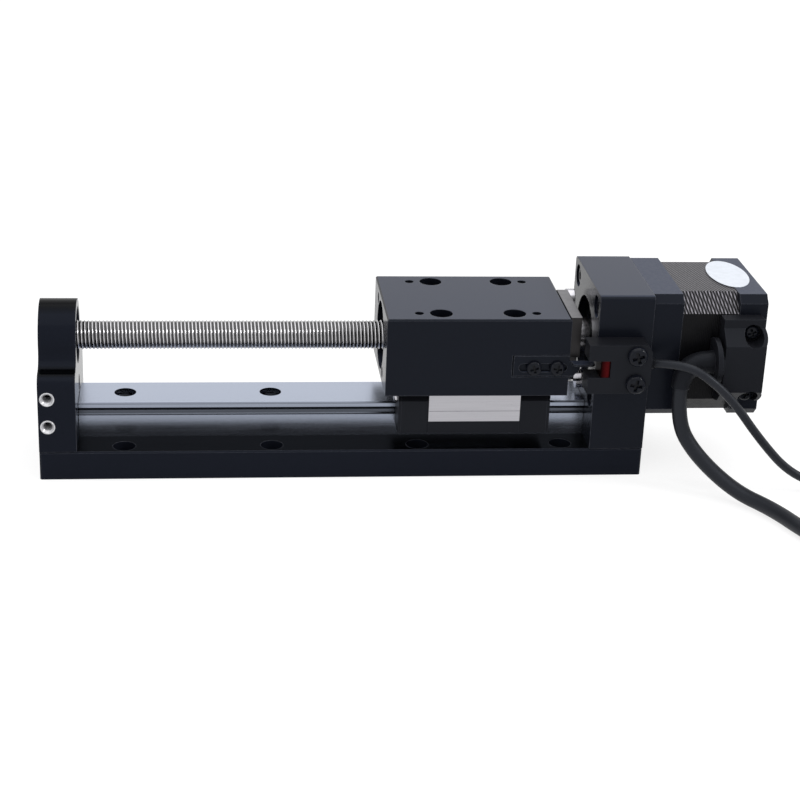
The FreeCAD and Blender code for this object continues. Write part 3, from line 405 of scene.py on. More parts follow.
def calc(tree, operation, *values):
    """Output of one sum on values or sockets."""
    made = node(tree, "ShaderNodeMath", operation=operation)
    for socket, value in zip(made.inputs, values):
        feed(tree, socket, value)
    return made.outputs[0]


def vector_calc(tree, operation, *values):
    """Outputs of one sum on vectors or sockets."""
    made = node(tree, "ShaderNodeVectorMath", operation=operation)
    for socket, value in zip(made.inputs, values):
        feed(tree, socket, value)
    return made.outputs


def ramp(tree, value, from_min=0.0, from_max=1.0, to_min=0.0, to_max=1.0):
    """Output that goes from one level to the other while a value crosses a range."""
    made = node(tree, "ShaderNodeMapRange")
    feed(tree, made.inputs["Value"], value)
    feed(tree, made.inputs["From Min"], from_min)
    feed(tree, made.inputs["From Max"], from_max)
    feed(tree, made.inputs["To Min"], to_min)
    feed(tree, made.inputs["To Max"], to_max)
    return made.outputs["Result"]


def blend(tree, factor, under, over, data_type="RGBA"):
    """Output that is the first value at factor 0 and the second at factor 1."""
    made = node(tree, "ShaderNodeMix", data_type=data_type)
    feed(tree, made.inputs["Factor"], factor)
    feed(tree, made.inputs["A"], under)
    feed(tree, made.inputs["B"], over)
    return made.outputs["Result"]


def object_place(tree):
    return node(tree, "ShaderNodeTexCoord").outputs["Object"]


def grouped(tree, group, **inputs):
    """Outputs of a shared effect, with its inputs set."""
    made = node(tree, "ShaderNodeGroup", node_tree=group)
    for name, value in inputs.items():
        feed(tree, made.inputs[name], value)
    return made.outputs


def arrange(tree, column_width=220, row_height=260):
    """Lay the nodes out in columns, each node left of all that it feeds."""
    column = {made.name: 0 for made in tree.nodes}
    for _ in tree.nodes:
        for wire in tree.links:
            left, right = wire.from_node.name, wire.to_node.name
            column[left] = max(column[left], column[right] + 1)
    rows = {}
    for made in tree.nodes:
        step = column[made.name]
        rows[step] = rows.get(step, 0) + 1
        made.location = (-column_width * step, -row_height * rows[step])


def new_group(name, inputs, outputs):
    tree = bpy.data.node_groups.new(name, "ShaderNodeTree")
    for label, kind, value in inputs:
        socket = tree.interface.new_socket(name=label, in_out="INPUT", socket_type=kind)
        socket.default_value = value
    for label, kind in outputs:
        tree.interface.new_socket(name=label, in_out="OUTPUT", socket_type=kind)
    return tree, node(tree, "NodeGroupInput").outputs, node(tree, "NodeGroupOutput").inputs


def scaled(colour, *factors):
    """A colour times one factor, or times one factor for each channel."""
    return [min(1.0, channel * factor) for channel, factor in zip(colour, factors * 3)]


def rgba(colour, factor=1.0):
    return (*scaled(colour, factor), 1)


# ---------- shared effects ----------

def edge_highlight_group():
    """Mask for a painted edge highlight, high within a small distance of an edge and uneven with noise, and a
    softened normal.
    """
    name = "Edge wear"
    if name in bpy.data.node_groups:
        return bpy.data.node_groups[name]
    tree, start, end = new_group(
        name, [("Width", "NodeSocketFloat", 0.00025)],
        [("Mask", "NodeSocketFloat"), ("Normal", "NodeSocketVector")])
    soft = node(tree, "ShaderNodeBevel", samples=6)
    feed(tree, soft.inputs["Radius"], start["Width"])
    normal = soft.outputs["Normal"]
    face = node(tree, "ShaderNodeNewGeometry").outputs["True Normal"]
    bent = ramp(tree, vector_calc(tree, "DOT_PRODUCT", normal, face)["Value"], from_min=0.995, from_max=0.80)
    grain = node(tree, "ShaderNodeTexNoise")
    grain.inputs["Scale"].default_value = 900.0
    feed(tree, grain.inputs["Vector"], object_place(tree))
    uneven = ramp(tree, grain.outputs["Fac"], from_min=0.35, from_max=0.65, to_min=0.55)
    feed(tree, end["Mask"], calc(tree, "MULTIPLY", bent, uneven))
    feed(tree, end["Normal"], normal)
    arrange(tree)
    return tree


def grain_group():
    """Fine noise, stretched by a chosen scale on each axis."""
    name = "Surface grain"
    if name in bpy.data.node_groups:
        return bpy.data.node_groups[name]
    tree, start, end = new_group(
        name, [("Scale", "NodeSocketVector", (1.0, 1.0, 1.0)), ("Low", "NodeSocketFloat", 0.0),
               ("High", "NodeSocketFloat", 1.0)],
        [("Value", "NodeSocketFloat"), ("Height", "NodeSocketFloat")])
    noise = node(tree, "ShaderNodeTexNoise")
    noise.inputs["Scale"].default_value = 1.0
    noise.inputs["Detail"].default_value = 4.0
    stretched = vector_calc(tree, "MULTIPLY", object_place(tree), start["Scale"])["Vector"]
    feed(tree, noise.inputs["Vector"], stretched)
    height = noise.outputs["Fac"]
    feed(tree, end["Value"], ramp(tree, height, 0.3, 0.7, to_min=start["Low"], to_max=start["High"]))
    feed(tree, end["Height"], height)
    arrange(tree)
    return tree


def band_group():
    """Thin bands across one axis, as on a stack of sheets or a turned face."""
    name = "Fine bands"
    if name in bpy.data.node_groups:
        return bpy.data.node_groups[name]
    tree, start, end = new_group(
        name, [("Direction", "NodeSocketVector", (1.0, 0.0, 0.0)), ("Pitch", "NodeSocketFloat", 0.0005)],
        [("Band", "NodeSocketFloat")])
    along = vector_calc(tree, "DOT_PRODUCT", object_place(tree), start["Direction"])["Value"]
    turn = calc(tree, "MULTIPLY", calc(tree, "DIVIDE", along, start["Pitch"]), 2 * math.pi)
    feed(tree, end["Band"], ramp(tree, calc(tree, "SINE", turn), from_min=-1.0))
    arrange(tree)
    return tree


def facing_group():
    """Masks of faces that look up, and of slopes that look up and to the front or back."""
    name = "Facing"
    if name in bpy.data.node_groups:
        return bpy.data.node_groups[name]
    tree, start, end = new_group(
        name, [("Least rise", "NodeSocketFloat", 0.8)],
        [("Top", "NodeSocketFloat"), ("Slope", "NodeSocketFloat")])
    parts = node(tree, "ShaderNodeSeparateXYZ")
    feed(tree, parts.inputs[0], node(tree, "ShaderNodeTexCoord").outputs["Normal"])
    rise = parts.outputs["Z"]
    lean = calc(tree, "MULTIPLY", calc(tree, "ABSOLUTE", parts.outputs["Y"]), rise)
    feed(tree, end["Top"], ramp(tree, rise, from_min=start["Least rise"], from_max=0.95))
    feed(tree, end["Slope"], ramp(tree, lean, from_min=0.3, from_max=0.45))
    arrange(tree)
    return tree


def bands(tree, direction, pitch):
    return grouped(tree, band_group(), Direction=direction, Pitch=pitch)["Band"]


# ---------- finishes ----------

def surface(name, colour, roughness, metallic=0.0, grain=400, along=1.0, spread=0.06, bump=0.0, edge=None,
            edge_width=0.00022, top=None, band=None, ior=1.5, gloss=(1, 1, 1)):
    """One finish: colour with uneven gloss, an optional painted edge highlight, bands, and an optional
    painted top tone: a painted highlight on some finishes and painted shade on others.

    The grain is finer for a larger number, and takes the share "along" of it along X, as on brushed
    metal. The roughness swings by the spread. A band is a direction, a pitch, a strength and a colour.
    """
    if name in bpy.data.materials:
        return bpy.data.materials[name]
    material = bpy.data.materials.new(name)
    material.use_nodes = True
    tree = material.node_tree
    shader = tree.nodes["Principled BSDF"]
    shader.inputs["Metallic"].default_value = metallic
    shader.inputs["IOR"].default_value = ior
    shader.inputs["Specular Tint"].default_value = (*gloss, 1)
    texture = grouped(tree, grain_group(), Scale=(grain * along, grain, grain),
                      Low=max(LEAST_ROUGHNESS, roughness - spread), High=min(1.0, roughness + spread))
    height = texture["Height"]
    normal = None
    last = blend(tree, height, rgba(colour, 0.88), rgba(colour, 1.12))
    # Painted highlight and painted shade: faces that look up take a tone of their own, in place of how the
    # light above falls on them
    if top:
        last = blend(tree, grouped(tree, facing_group())["Top"], last, rgba(top))
    if band:
        direction, pitch, strength, band_colour = band
        height = bands(tree, direction, pitch)
        last = blend(tree, calc(tree, "MULTIPLY", height, strength), last, rgba(band_colour))
    # Painted edge highlight: a paler tone blended in along the edges
    if edge:
        highlight = grouped(tree, edge_highlight_group(), Width=edge_width)
        last = blend(tree, highlight["Mask"], last, rgba(edge))
        normal = highlight["Normal"]
    if bump:
        relief = node(tree, "ShaderNodeBump")
        relief.inputs["Strength"].default_value = bump
        relief.inputs["Distance"].default_value = BUMP_DISTANCE
        feed(tree, relief.inputs["Height"], height)
        if normal:
            feed(tree, relief.inputs["Normal"], normal)
        normal = relief.outputs["Normal"]
    if normal:
        feed(tree, shader.inputs["Normal"], normal)
    feed(tree, shader.inputs["Roughness"], texture["Value"])
    feed(tree, shader.inputs["Base Color"], last)
    arrange(tree)
    return material


def layers_of(material):
    """Tree and shader of a finish, and the socket that feeds its colour, for more layers over it."""
    tree = material.node_tree
    shader = tree.nodes["Principled BSDF"]
    return tree, shader, shader.inputs["Base Color"].links[0].from_socket


def screw_surface(colour):
    """Rolled steel, bright on the crests, with painted shade darkening the ball groove."""
    name = "Rolled screw steel"
    if name in bpy.data.materials:
        return bpy.data.materials[name]
    material = surface(name, colour, 0.22, metallic=1.0, grain=500)
    tree, shader, steel = layers_of(material)
    crest = (SCREW_BOX[1].z - SCREW_BOX[0].z) / 2
    across = vector_calc(tree, "MULTIPLY_ADD", object_place(tree), (0, 1, 1), (0, 0, -AXIS_Z))["Vector"]
    reach = vector_calc(tree, "LENGTH", across)["Value"]
    on_crest = ramp(tree, reach, from_min=crest - CREST_DARK, from_max=crest - CREST_BRIGHT)
    # Painted shade: the groove takes about a tenth of the steel's colour
    feed(tree, shader.inputs["Base Color"], blend(tree, on_crest, rgba(colour, 0.11), steel))
    arrange(tree)
    return material


def rail_surface(colour):
    """Ground rail steel, with painted shade inside the ball grooves and along the broken top edges."""
    name = "Ground rail steel"
    if name in bpy.data.materials:
        return bpy.data.materials[name]
    # The sides take 0.62 of the rail colour and faces that look up the whole of it: a ground top, with
    # painted shade on the sides
    material = surface(name, scaled(colour, 0.62), 0.25, metallic=1.0, grain=3000, along=0.02, spread=0.02,
                       bump=0.008, top=colour)
    tree, shader, last = layers_of(material)
    rail_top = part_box("linear_rail")[1].z
    parts = node(tree, "ShaderNodeSeparateXYZ")
    feed(tree, parts.inputs[0], object_place(tree))
    # Painted shade: each band blends in a near-black copy of the rail colour
    for drop, reach, share in RAIL_BANDS:
        inside = calc(tree, "COMPARE", parts.outputs["Z"], rail_top - drop, reach)
        last = blend(tree, calc(tree, "MULTIPLY", inside, share), last, rgba(colour, 0.06))
    feed(tree, shader.inputs["Base Color"], last)
    arrange(tree)
    return material


def stack_surface(colour):
    """Stacked sheets: dotted on top, with bright cut corners that lean from sheet to sheet."""
    name = "Motor laminations"
    if name in bpy.data.materials:
        return bpy.data.materials[name]
    # Painted shade: the sides take under a tenth of the lamination colour, while the dotted tops and streaked
    # cut corners stay lighter
    dark = scaled(colour, 0.085, 0.09, 0.10)
    material = surface(name, dark, 0.34, grain=900, bump=0.25, ior=1.19,
                       band=((1, 0, 0), SHEET_PITCH, 0.6, scaled(dark, 0.5)))
    tree, shader, sheets = layers_of(material)
    facing = grouped(tree, facing_group())
    rows, columns = (bands(tree, (1, lean, 0), DOT_PITCH) for lean in (DOT_LEAN, -DOT_LEAN))
    dots = calc(tree, "MULTIPLY", rows, columns)
    dotted = blend(tree, calc(tree, "MULTIPLY", dots, facing["Top"]), sheets, rgba(colour, 4.4))
    sharp = ramp(tree, bands(tree, *STREAKS), from_min=0.30)
    varied = ramp(tree, bands(tree, *UNEVEN_STREAKS), to_min=0.35)
    on_slope = calc(tree, "MULTIPLY", calc(tree, "MULTIPLY", sharp, varied), facing["Slope"])
    feed(tree, shader.inputs["Base Color"], blend(tree, on_slope, dotted, rgba(colour, 3.9)))
    feed(tree, shader.inputs["Metallic"], on_slope)
    arrange(tree)
    return material


def lens_surface(colour):
    """Red window, with painted light in the middle and painted shade towards its ends."""
    name = "Red window"
    if name in bpy.data.materials:
        return bpy.data.materials[name]
    material = surface(name, colour, 0.34, grain=800, spread=0.03, ior=1.08)
    tree, shader, red = layers_of(material)
    low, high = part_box("sensor_window")
    width = high.x - low.x
    parts = node(tree, "ShaderNodeSeparateXYZ")
    feed(tree, parts.inputs[0], object_place(tree))
    along = parts.outputs["X"]
    # Painted light and shade: bright red across the middle, falling to a near-black red at both ends
    rise = ramp(tree, along, from_min=low.x + 0.05 * width, from_max=low.x + 0.60 * width)
    fall = ramp(tree, along, from_min=high.x - 0.06 * width, from_max=high.x - 0.20 * width)
    painted_light = calc(tree, "MULTIPLY", rise, fall)
    feed(tree, shader.inputs["Base Color"], blend(tree, painted_light, rgba(colour, 0.05), red))
    arrange(tree)
    return material


def finishes(scene):
    """Every finish by name."""
    tones = scene.actuator_colours
    black, edge = tuple(tones.anodised), tuple(tones.edge)
    guide, plastic = tuple(tones.guide), tuple(tones.plastic)
    blue = (0.80, 0.87, 1.0)
    bright = scaled(guide, 1.2)
    return {
        # Painted shade: the plate's faces that look up take a much darker tone, as if in shade
        "base": surface("Black anodised plate", scaled(black, 1.40), 0.16, grain=2600, spread=0.02, bump=0.01,
                        edge=edge, edge_width=0.0003, top=scaled(black, 0.1), ior=1.12, gloss=blue),
        # Painted highlight: the blocks' faces that look up take a lighter tone, a painted reflection of the
        # light above
        "anodised": surface("Black anodised block", black, 0.24, grain=2600, spread=0.03, bump=0.01,
                            edge=edge, edge_width=0.0003, top=scaled(black, 5.2), ior=1.19, gloss=blue),
        # Painted highlight: the caps' faces that look up take a lighter tone, a painted reflection of the
        # light above
        "cast": surface("Black painted cap", black, 0.34, grain=1400, spread=0.05, bump=0.03,
                        edge=edge, edge_width=0.0003, top=scaled(black, 6.8), ior=1.18, gloss=blue),
        "rail": rail_surface(tuple(tones.rail)),
        "guide": surface("Ground guide steel", guide, 0.32, metallic=0.95, grain=2500, along=0.02, bump=0.10),
        "bearing": surface("Bearing steel", bright, 0.22, metallic=1.0, grain=800, spread=0.04),
        "screw": screw_surface(tuple(tones.screw)),
        # Painted highlight: the nut's faces that look up take a lighter tone than its dark sides
        "flange": surface("Turned nut steel", scaled(guide, 0.07, 0.068, 0.066), 0.34, metallic=0.95,
                          grain=900, bump=0.05, edge=scaled(guide, 0.5), top=scaled(guide, 0.41)),
        "insert": surface("Plated insert", (0.60, 0.60, 0.62), 0.30, metallic=0.5, grain=1500, spread=0.05),
        "oxide": surface("Black oxide screw", black, 0.12, grain=1500, spread=0.03, ior=1.22),
        "bright": surface("Bright plated screw", bright, 0.24, metallic=1.0, grain=1500),
        "stack": stack_surface(tuple(tones.lamination)),
        "copper": surface("Enamelled copper", (0.62, 0.27, 0.12), 0.35, metallic=0.9, grain=900),
        "magnet": surface("Rotor magnet", (0.20, 0.20, 0.21), 0.5, metallic=0.6),
        "plastic": surface("Moulded black plastic", plastic, 0.40, grain=2400, spread=0.05, bump=0.05,
                           edge=scaled(plastic, 4), ior=1.2, gloss=blue),
        "sensor": surface("Sensor housing", plastic, 0.36, grain=2400, spread=0.05, bump=0.04,
                          edge=scaled(plastic, 4), edge_width=0.00015, ior=1.20, gloss=blue),
        "lens": lens_surface(tuple(tones.lens)),
        "label": surface("Bare white label", tuple(tones.label), 0.42, grain=600, spread=0.05, ior=1.3),
        "jacket": surface("Cable jacket", plastic, 0.42, grain=1600, bump=0.06, ior=1.34, gloss=blue),
        "plug": surface("Nylon connector", (0.78, 0.77, 0.72), 0.42, grain=900, spread=0.05, bump=0.1),
    }


def dress(scene, *keys):
    """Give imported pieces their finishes."""
    looks = finishes(scene)
    for key in keys:
        for name in NODE_FINISHES[key]:
            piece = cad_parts[name]
            piece.data.materials.clear()
            piece.data.materials.append(looks[key])


# ---------- screws and inserts ----------

def add_screw(bm, matrix, kind, shank_length):
    """One screw, head up along +Z from its seat at the origin."""
    head, height, shank, drive, size = SCREW_KINDS[kind]
    if drive == "socket":
        depth, lip, outline = height * SOCKET_DEPTH, SOCKET_LIP * head, CAP_OUTLINE
        recess = [ring(size * SOCKET_MOUTH, height)]
        for width, sink in SOCKET_SHAPE:
            recess.append(hexagon(size * width, height - max(lip, depth * sink)))
    else:
        depth, arm, outline = height * CROSS_DEPTH, size / 2, PAN_OUTLINE
        recess = [ring(arm * CROSS_MOUTH, height)]
        for reach, width, sink in CROSS_SHAPE:
            recess.append(cross(arm * reach, arm * width, height - max(CROSS_LIP, depth * sink)))
    rings = [ring(shank, -shank_length), ring(shank, 0)]
    for width, rise in outline:
        rings.append(ring(head * width, height * rise))
    loft(bm, in_metres(rings + recess), matrix)


def add_insert(bm, matrix, radius, depth):
    """One tapped insert, its face at the origin and its bore down along -Z."""
    bore = radius - INSERT_WALL
    rings = [ring(bore, -depth), ring(radius, -depth), ring(radius, -INSERT_EDGE),
             ring(radius - INSERT_EDGE, 0), ring(radius - INSERT_LIP, 0),
             ring(bore + INSERT_LEAD_IN, -INSERT_LIP)]
    for turn in range(int((depth - INSERT_FREE) / INSERT_PITCH)):
        for sink, cut in INSERT_THREAD:
            rings.append(ring(bore + cut, -sink - INSERT_PITCH * turn))
    rings.append(ring(bore, -depth))
    loft(bm, in_metres(rings), matrix, closed=False)


# ---------- cables ----------

def coil_centre(route, run_in, radius, first_offset):
    """Centre of a coil that the route meets along its outer turn, and the angle where it meets."""
    end, before = Vector(route[-1]), Vector(route[-2])
    heading = (end - before)
    heading.z = 0
    heading.normalize()
    left = Vector((-heading.y, heading.x, 0))
    touch = Vector((end.x, end.y, 0)) + heading * run_in
    centre = touch + left * (radius + first_offset)
    spoke = touch - centre
    return centre, math.degrees(math.atan2(spoke.y, spoke.x))


def coil_points(centre, first_angle, radius, strands, last_angle):
    """Points of the turns, anticlockwise, each turn lying at its own place in the bundle."""
    points = []
    steps = int(round((last_angle - first_angle) / 360 * POINTS_PER_TURN))
    for i in range(steps + 1):
        angle = first_angle + (last_angle - first_angle) * i / steps
        turns = (angle - first_angle) / 360
        index = min(int(turns), len(strands) - 1)
        offset, height = strands[index]
        change = (turns - index - (1 - STRAND_CHANGE)) / STRAND_CHANGE
        if change > 0 and index + 1 < len(strands):
            smooth = change * change * (3 - 2 * change)
            offset += (strands[index + 1][0] - offset) * smooth
            height += (strands[index + 1][1] - height) * smooth
        spin = math.radians(angle)
        reach = radius + offset
        points.append((centre.x + reach * math.cos(spin), centre.y + reach * math.sin(spin), height))
    return points


def tail_points(end, length, diameter, plug_z):
    """Points of the free end, from the last turn into the plug."""
    x, y, z = end
    return [(x, y + length * share, z + (plug_z - z) * way + diameter * rise)
            for share, rise, way in TAIL_SHAPE]


def cable_spline(name, points, diameter, material, replaced):
    curve = bpy.data.curves.new(name, "CURVE")
    curve.dimensions = "3D"
    curve.bevel_depth = diameter / 2
    curve.bevel_resolution = 6
    curve.resolution_u = 8
    curve.use_fill_caps = True
    spline = curve.splines.new("NURBS")
    spline.points.add(len(points) - 1)
    for point, place in zip(spline.points, points):
        point.co = (place[0] * MM, place[1] * MM, place[2] * MM, 1)
    spline.order_u = 3
    spline.use_endpoint_u = True
    curve.materials.append(material)
    piece = add_object(name, curve)
    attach(piece, "frame")
    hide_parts(*replaced)
    return piece


def spline_length(piece):
    """Length of a cable's centreline."""
    curve = piece.data.copy()
    curve.bevel_depth = 0
    curve.use_fill_caps = False
    probe = add_object("probe", curve)
    bpy.context.view_layer.update()
    mesh = bpy.data.meshes.new_from_object(probe.evaluated_get(bpy.context.evaluated_depsgraph_get()))
    ends = ([mesh.vertices[index].co for index in edge.vertices] for edge in mesh.edges)
    total = sum((first - second).length for first, second in ends)
    bpy.data.objects.remove(probe)
    bpy.data.meshes.remove(mesh)
    return round(total, 3)


# ---------- stage ----------

def seen_rays(tree):
    """Socket that is 1 for rays that see the surroundings directly, in gloss or through glass."""
    rays = node(tree, "ShaderNodeLightPath").outputs
    either = calc(tree, "MAXIMUM", rays["Is Camera Ray"], rays["Is Glossy Ray"])
    return calc(tree, "MAXIMUM", either, rays["Is Transmission Ray"])


def add_camera(scene):
    """Camera that looks along a yaw and a pitch, rolled about its view."""
    look = Vector((math.sin(CAMERA_YAW) * math.cos(CAMERA_PITCH),
                   math.cos(CAMERA_YAW) * math.cos(CAMERA_PITCH), -math.sin(CAMERA_PITCH)))
    right = Vector((math.cos(CAMERA_YAW), -math.sin(CAMERA_YAW), 0))
    up = right.cross(look)
    level = right * math.cos(CAMERA_ROLL) + up * math.sin(CAMERA_ROLL)
    above = up * math.cos(CAMERA_ROLL) - right * math.sin(CAMERA_ROLL)
    data = bpy.data.cameras.new("camera")
    data.sensor_width = FILM_WIDTH
    data.lens = FOCAL_PIXELS / PICTURE_PIXELS * FILM_WIDTH
    data.clip_start = 0.01
    data.clip_end = 20.0
    camera = add_object("camera", data)
    turn = Matrix((level, above, -look)).transposed().to_4x4()
    camera.matrix_world = Matrix.Translation(CAMERA_PLACE) @ turn
    scene.camera = camera


def add_floor(settings):
    """Floor that glows evenly to rays that see it, lights the part as a pale one, and takes its shadow."""
    bm = bmesh.new()
    corners = [(x * FLOOR_HALF, y * FLOOR_HALF, -FLOOR_DROP) for x, y in ((-1, -1), (1, -1), (1, 1), (-1, 1))]
    bm.faces.new([bm.verts.new(corner) for corner in corners])
    mesh = bpy.data.meshes.new("floor")
    bm.to_mesh(mesh)
    bm.free()
    floor = add_object("floor", mesh)
    material = bpy.data.materials.new("Studio floor")
    material.use_nodes = True
    tree = material.node_tree
    shader = tree.nodes["Principled BSDF"]
    shader.inputs["Roughness"].default_value = 0.9
    shader.inputs["Specular IOR Level"].default_value = 0.1
    shader.inputs["Emission Color"].default_value = (1, 1, 1, 1)
    seen = seen_rays(tree)
    tone = blend(tree, seen, rgba(settings.floor), rgba(settings.floor, FLOOR_SEEN_TONE))
    feed(tree, shader.inputs["Base Color"], tone)
    feed(tree, shader.inputs["Emission Strength"], calc(tree, "MULTIPLY", seen, FLOOR_SEEN_GLOW))
    arrange(tree)
    mesh.materials.append(material)


def add_sky(scene, settings):
    """White surroundings, which give less light than they look."""
    world = bpy.data.worlds.new("studio")
    scene.world = world
    world.use_nodes = True
    tree = world.node_tree
    background = tree.nodes["Background"]
    background.inputs["Color"].default_value = (1, 1, 1, 1)
    feed(tree, background.inputs["Strength"], blend(tree, seen_rays(tree), settings.sky, 1.0, "FLOAT"))
    arrange(tree)


def add_lamps(settings):
    for name, place, width, height, power in LAMPS:
        lamp = bpy.data.lights.new(name, "AREA")
        lamp.shape = "RECTANGLE"
        lamp.size = width
        lamp.size_y = height
        lamp.energy = getattr(settings, power)
        piece = add_object(name, lamp)
        piece.location = place
        piece.rotation_mode = "QUATERNION"
        piece.rotation_quaternion = (LAMP_TARGET - Vector(place)).to_track_quat("-Z", "Y")


# ---------- operators ----------

class ACTUATOR_OT_stage(bpy.types.Operator):
    """Camera, pale floor and soft studio lamps"""
    bl_idname = "actuator.stage"
    bl_label = "Stage"

    def execute(self, context):
        scene = context.scene
        settings = scene.actuator_stage
        add_camera(scene)
        add_floor(settings)
        add_sky(scene, settings)
        add_lamps(settings)
        scene.view_settings.view_transform = "Standard"
        return {"FINISHED"}


class ACTUATOR_OT_cables(bpy.types.Operator):
    """Motor and sensor cables, each with its spare length in a neat coil"""
    bl_idname = "actuator.cables"
    bl_label = "Cables"

    def execute(self, context):
        sizes = context.scene.actuator_cables
        looks = finishes(context.scene)
        plans = (
            ("motor_lead", MOTOR_ROUTE, MOTOR_STRANDS, MOTOR_LAY, sizes.motor_coil_radius / MM,
             sizes.motor_diameter, ("motor_cable", "motor_cable_coil"), "motor_connector"),
            ("sensor_lead", SENSOR_ROUTE, SENSOR_STRANDS, SENSOR_LAY, sizes.sensor_coil_radius / MM,
             sizes.sensor_diameter, ("sensor_cable", "sensor_cable_coil"), "sensor_connector"),
        )
        for name, route, strands, lay, radius, diameter, replaced, plug in plans:
            run_in, last_angle, tail, plug_z = lay
            centre, first_angle = coil_centre(route, run_in, radius, strands[0][0])
            turns = coil_points(centre, first_angle % 360, radius, strands, last_angle)
            points = list(route) + turns + tail_points(turns[-1], tail, diameter / MM, plug_z)
            piece = cable_spline(name, points, diameter, looks["jacket"], replaced)
            length = spline_length(piece)
        return {"FINISHED"}


class ACTUATOR_OT_ball_screw(bpy.types.Operator):
    """Ball screw with its helical groove, journals and tail"""
    bl_idname = "actuator.ball_screw"
    bl_label = "Ball screw"

    def execute(self, context):
        sizes = context.scene.actuator_screw
        steel = finishes(context.scene)["screw"]
        crest = sizes.thread_diameter / 2
        depth = sizes.groove_depth
        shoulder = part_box("free_bearing_inner")[1].x + SHOULDER_GAP
        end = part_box("screw_collar")[0].x
        turns = int((end - shoulder) / sizes.lead) - 1
        bm = bmesh.new()
        rows = []
        for i in range(turns * THREAD_SIDES + 1):
            spin = 2 * math.pi * i / THREAD_SIDES
            row = []
            for phase, sink in THREAD_SHAPE:
                radius = crest - depth * sink
                x = shoulder + sizes.lead * (i / THREAD_SIDES + phase)
                row.append(bm.verts.new((x, radius * math.cos(spin), AXIS_Z + radius * math.sin(spin))))
            rows.append(row)
        for row, after in zip(rows, rows[1:]):
            for j in range(len(THREAD_SHAPE) - 1):
                bm.faces.new((row[j], after[j], after[j + 1], row[j + 1]))
        # Each row's last point joins the first point of the row one turn on
        for i in range(len(rows) - 1 - THREAD_SIDES):
            turned = i + THREAD_SIDES
            bm.faces.new((rows[i][-1], rows[i + 1][-1], rows[turned + 1][0], rows[turned][0]))
        finish_mesh("ball_screw_thread", bm, steel, "screw", sharp=80)

        low, high = SCREW_BOX
        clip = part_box("shaft_clip")
        nut_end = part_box("lock_nut")[1].x
        root = crest - depth * CORE_SINK
        outline = (
            (low.x, JOURNAL_RADIUS - SCREW_CHAMFER), (low.x + SCREW_CHAMFER, JOURNAL_RADIUS),
            (clip[0].x, JOURNAL_RADIUS), (clip[0].x, CLIP_GROOVE_RADIUS),
            (clip[1].x, CLIP_GROOVE_RADIUS), (clip[1].x, JOURNAL_RADIUS),
            (shoulder, JOURNAL_RADIUS), (shoulder, root), (end, root), (end, JOURNAL_RADIUS),
            (nut_end, JOURNAL_RADIUS), (nut_end, TAIL_RADIUS), (high.x, TAIL_RADIUS),
        )
        bm = bmesh.new()
        loft(bm, [[Vector((x, p.y, AXIS_Z + p.x)) for p in ring(radius, 0)] for x, radius in outline])
        finish_mesh("ball_screw_core", bm, steel, "screw", ("ball_screw",))
        return {"FINISHED"}


class ACTUATOR_OT_metal(bpy.types.Operator):
    """Finishes of the plates, blocks, rail, guide and bearings"""
    bl_idname = "actuator.metal"
    bl_label = "Plates, guide and bearings"

    def execute(self, context):
        dress(context.scene, "base", "anodised", "rail", "guide", "bearing", "flange", "oxide", "bright")
        return {"FINISHED"}


class ACTUATOR_OT_motor(bpy.types.Operator):
    """Finishes of the motor, its cover and its bare label"""
    bl_idname = "actuator.motor"
    bl_label = "Motor"

    def execute(self, context):
        dress(context.scene, "cast", "stack", "copper", "magnet", "plastic", "label", "jacket", "plug")
        return {"FINISHED"}


class ACTUATOR_OT_sensor(bpy.types.Operator):
    """Finishes of the photo sensor and its window"""
    bl_idname = "actuator.sensor"
    bl_label = "Photo sensor"

    def execute(self, context):
        dress(context.scene, "sensor", "lens")
        return {"FINISHED"}


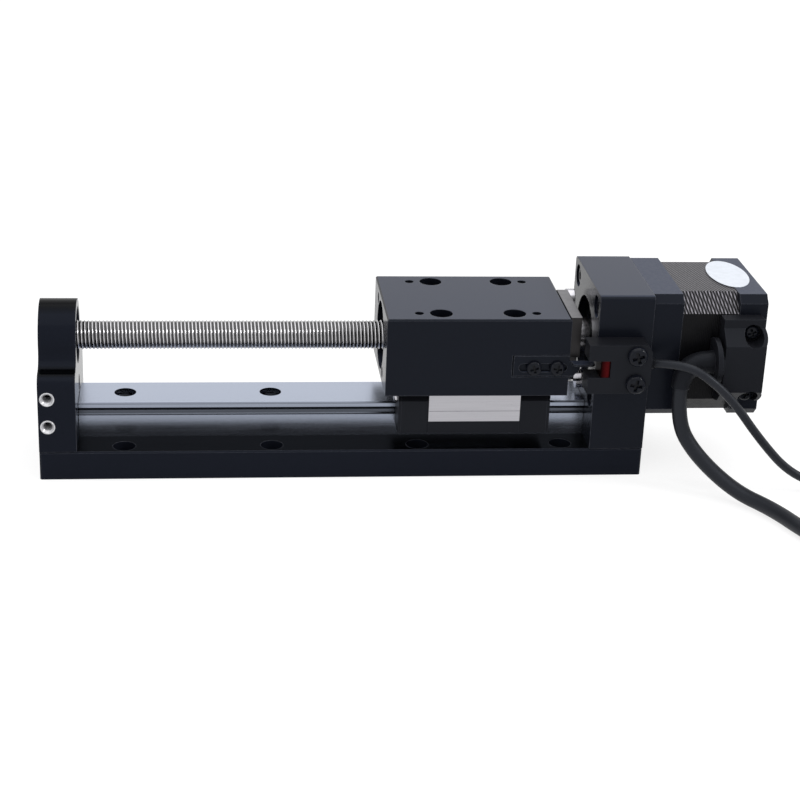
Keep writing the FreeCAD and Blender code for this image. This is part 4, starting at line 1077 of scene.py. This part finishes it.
class ACTUATOR_OT_fasteners(bpy.types.Operator):
    """Screws with their hexagon sockets and crosses"""
    bl_idname = "actuator.fasteners"
    bl_label = "Fasteners"

    def execute(self, context):
        looks = finishes(context.scene)
        for name, body, finish, kind, shank_length, direction, places in SCREW_SETS:
            bm = bmesh.new()
            for index, place in enumerate(places):
                turned = Matrix.Rotation(FIRST_TURN + NEXT_TURN * index, 4, "Z")
                matrix = outward([value * MM for value in place], direction) @ turned
                add_screw(bm, matrix, kind, shank_length)
            finish_mesh(name + "_detailed", bm, looks[finish], body, (name,))

        low, high = (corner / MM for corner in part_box("thread_inserts"))
        radius = (high.x - low.x) / 2
        bm = bmesh.new()
        for z in (low.z + radius, high.z - radius):
            matrix = outward(((low.x + radius) * MM, low.y * MM, z * MM), FRONT)
            add_insert(bm, matrix, radius, high.y - low.y)
        bmesh.ops.remove_doubles(bm, verts=bm.verts, dist=1e-7)
        finish_mesh("thread_inserts_detailed", bm, looks["insert"], "frame",
                    ("thread_inserts",))

        bm = bmesh.new()
        for seal, direction in zip(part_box("guide_end_seals"), (TO_FREE_END, TO_MOTOR)):
            for y in (-CAP_SCREW_Y, CAP_SCREW_Y):
                add_screw(bm, outward((seal.x, y, CAP_SCREW_Z), direction), "m2_small", CAP_SCREW_SHANK)
        finish_mesh("guide_cap_screws_detailed", bm, looks["bright"], "carriage",
                    ("guide_cap_screws",))
        return {"FINISHED"}


class ACTUATOR_PT_panel(bpy.types.Panel):
    bl_idname = "ACTUATOR_PT_panel"
    bl_label = "Linear actuator"
    bl_space_type = "VIEW_3D"
    bl_region_type = "UI"
    bl_category = "Actuator"

    def draw(self, context):
        layout = self.layout
        scene = context.scene
        for group in (scene.actuator_screw, scene.actuator_cables, scene.actuator_colours,
                      scene.actuator_stage):
            box = layout.box()
            for name in group.__annotations__:
                box.prop(group, name)
        for kind in OPERATORS:
            layout.operator(kind.bl_idname)


OPERATORS = (
    ACTUATOR_OT_stage, ACTUATOR_OT_cables, ACTUATOR_OT_metal, ACTUATOR_OT_ball_screw, ACTUATOR_OT_motor,
    ACTUATOR_OT_sensor, ACTUATOR_OT_fasteners,
)
GROUPS = (ActuatorScrewSizes, ActuatorCableSizes, ActuatorColours, ActuatorStage)


def register():
    for kind in (*GROUPS, *OPERATORS, ACTUATOR_PT_panel):
        bpy.utils.register_class(kind)
    bpy.types.Scene.actuator_screw = PointerProperty(type=ActuatorScrewSizes)
    bpy.types.Scene.actuator_cables = PointerProperty(type=ActuatorCableSizes)
    bpy.types.Scene.actuator_colours = PointerProperty(type=ActuatorColours)
    bpy.types.Scene.actuator_stage = PointerProperty(type=ActuatorStage)


def unregister():
    for name in ("actuator_screw", "actuator_cables", "actuator_colours", "actuator_stage"):
        delattr(bpy.types.Scene, name)
    for kind in reversed((*GROUPS, *OPERATORS, ACTUATOR_PT_panel)):
        bpy.utils.unregister_class(kind)


def main():
    register()
    bpy.ops.actuator.stage()
    bpy.ops.actuator.cables()
    bpy.ops.actuator.metal()
    bpy.ops.actuator.ball_screw()
    bpy.ops.actuator.motor()
    bpy.ops.actuator.sensor()
    bpy.ops.actuator.fasteners()


if __name__ == "__main__":
    main()
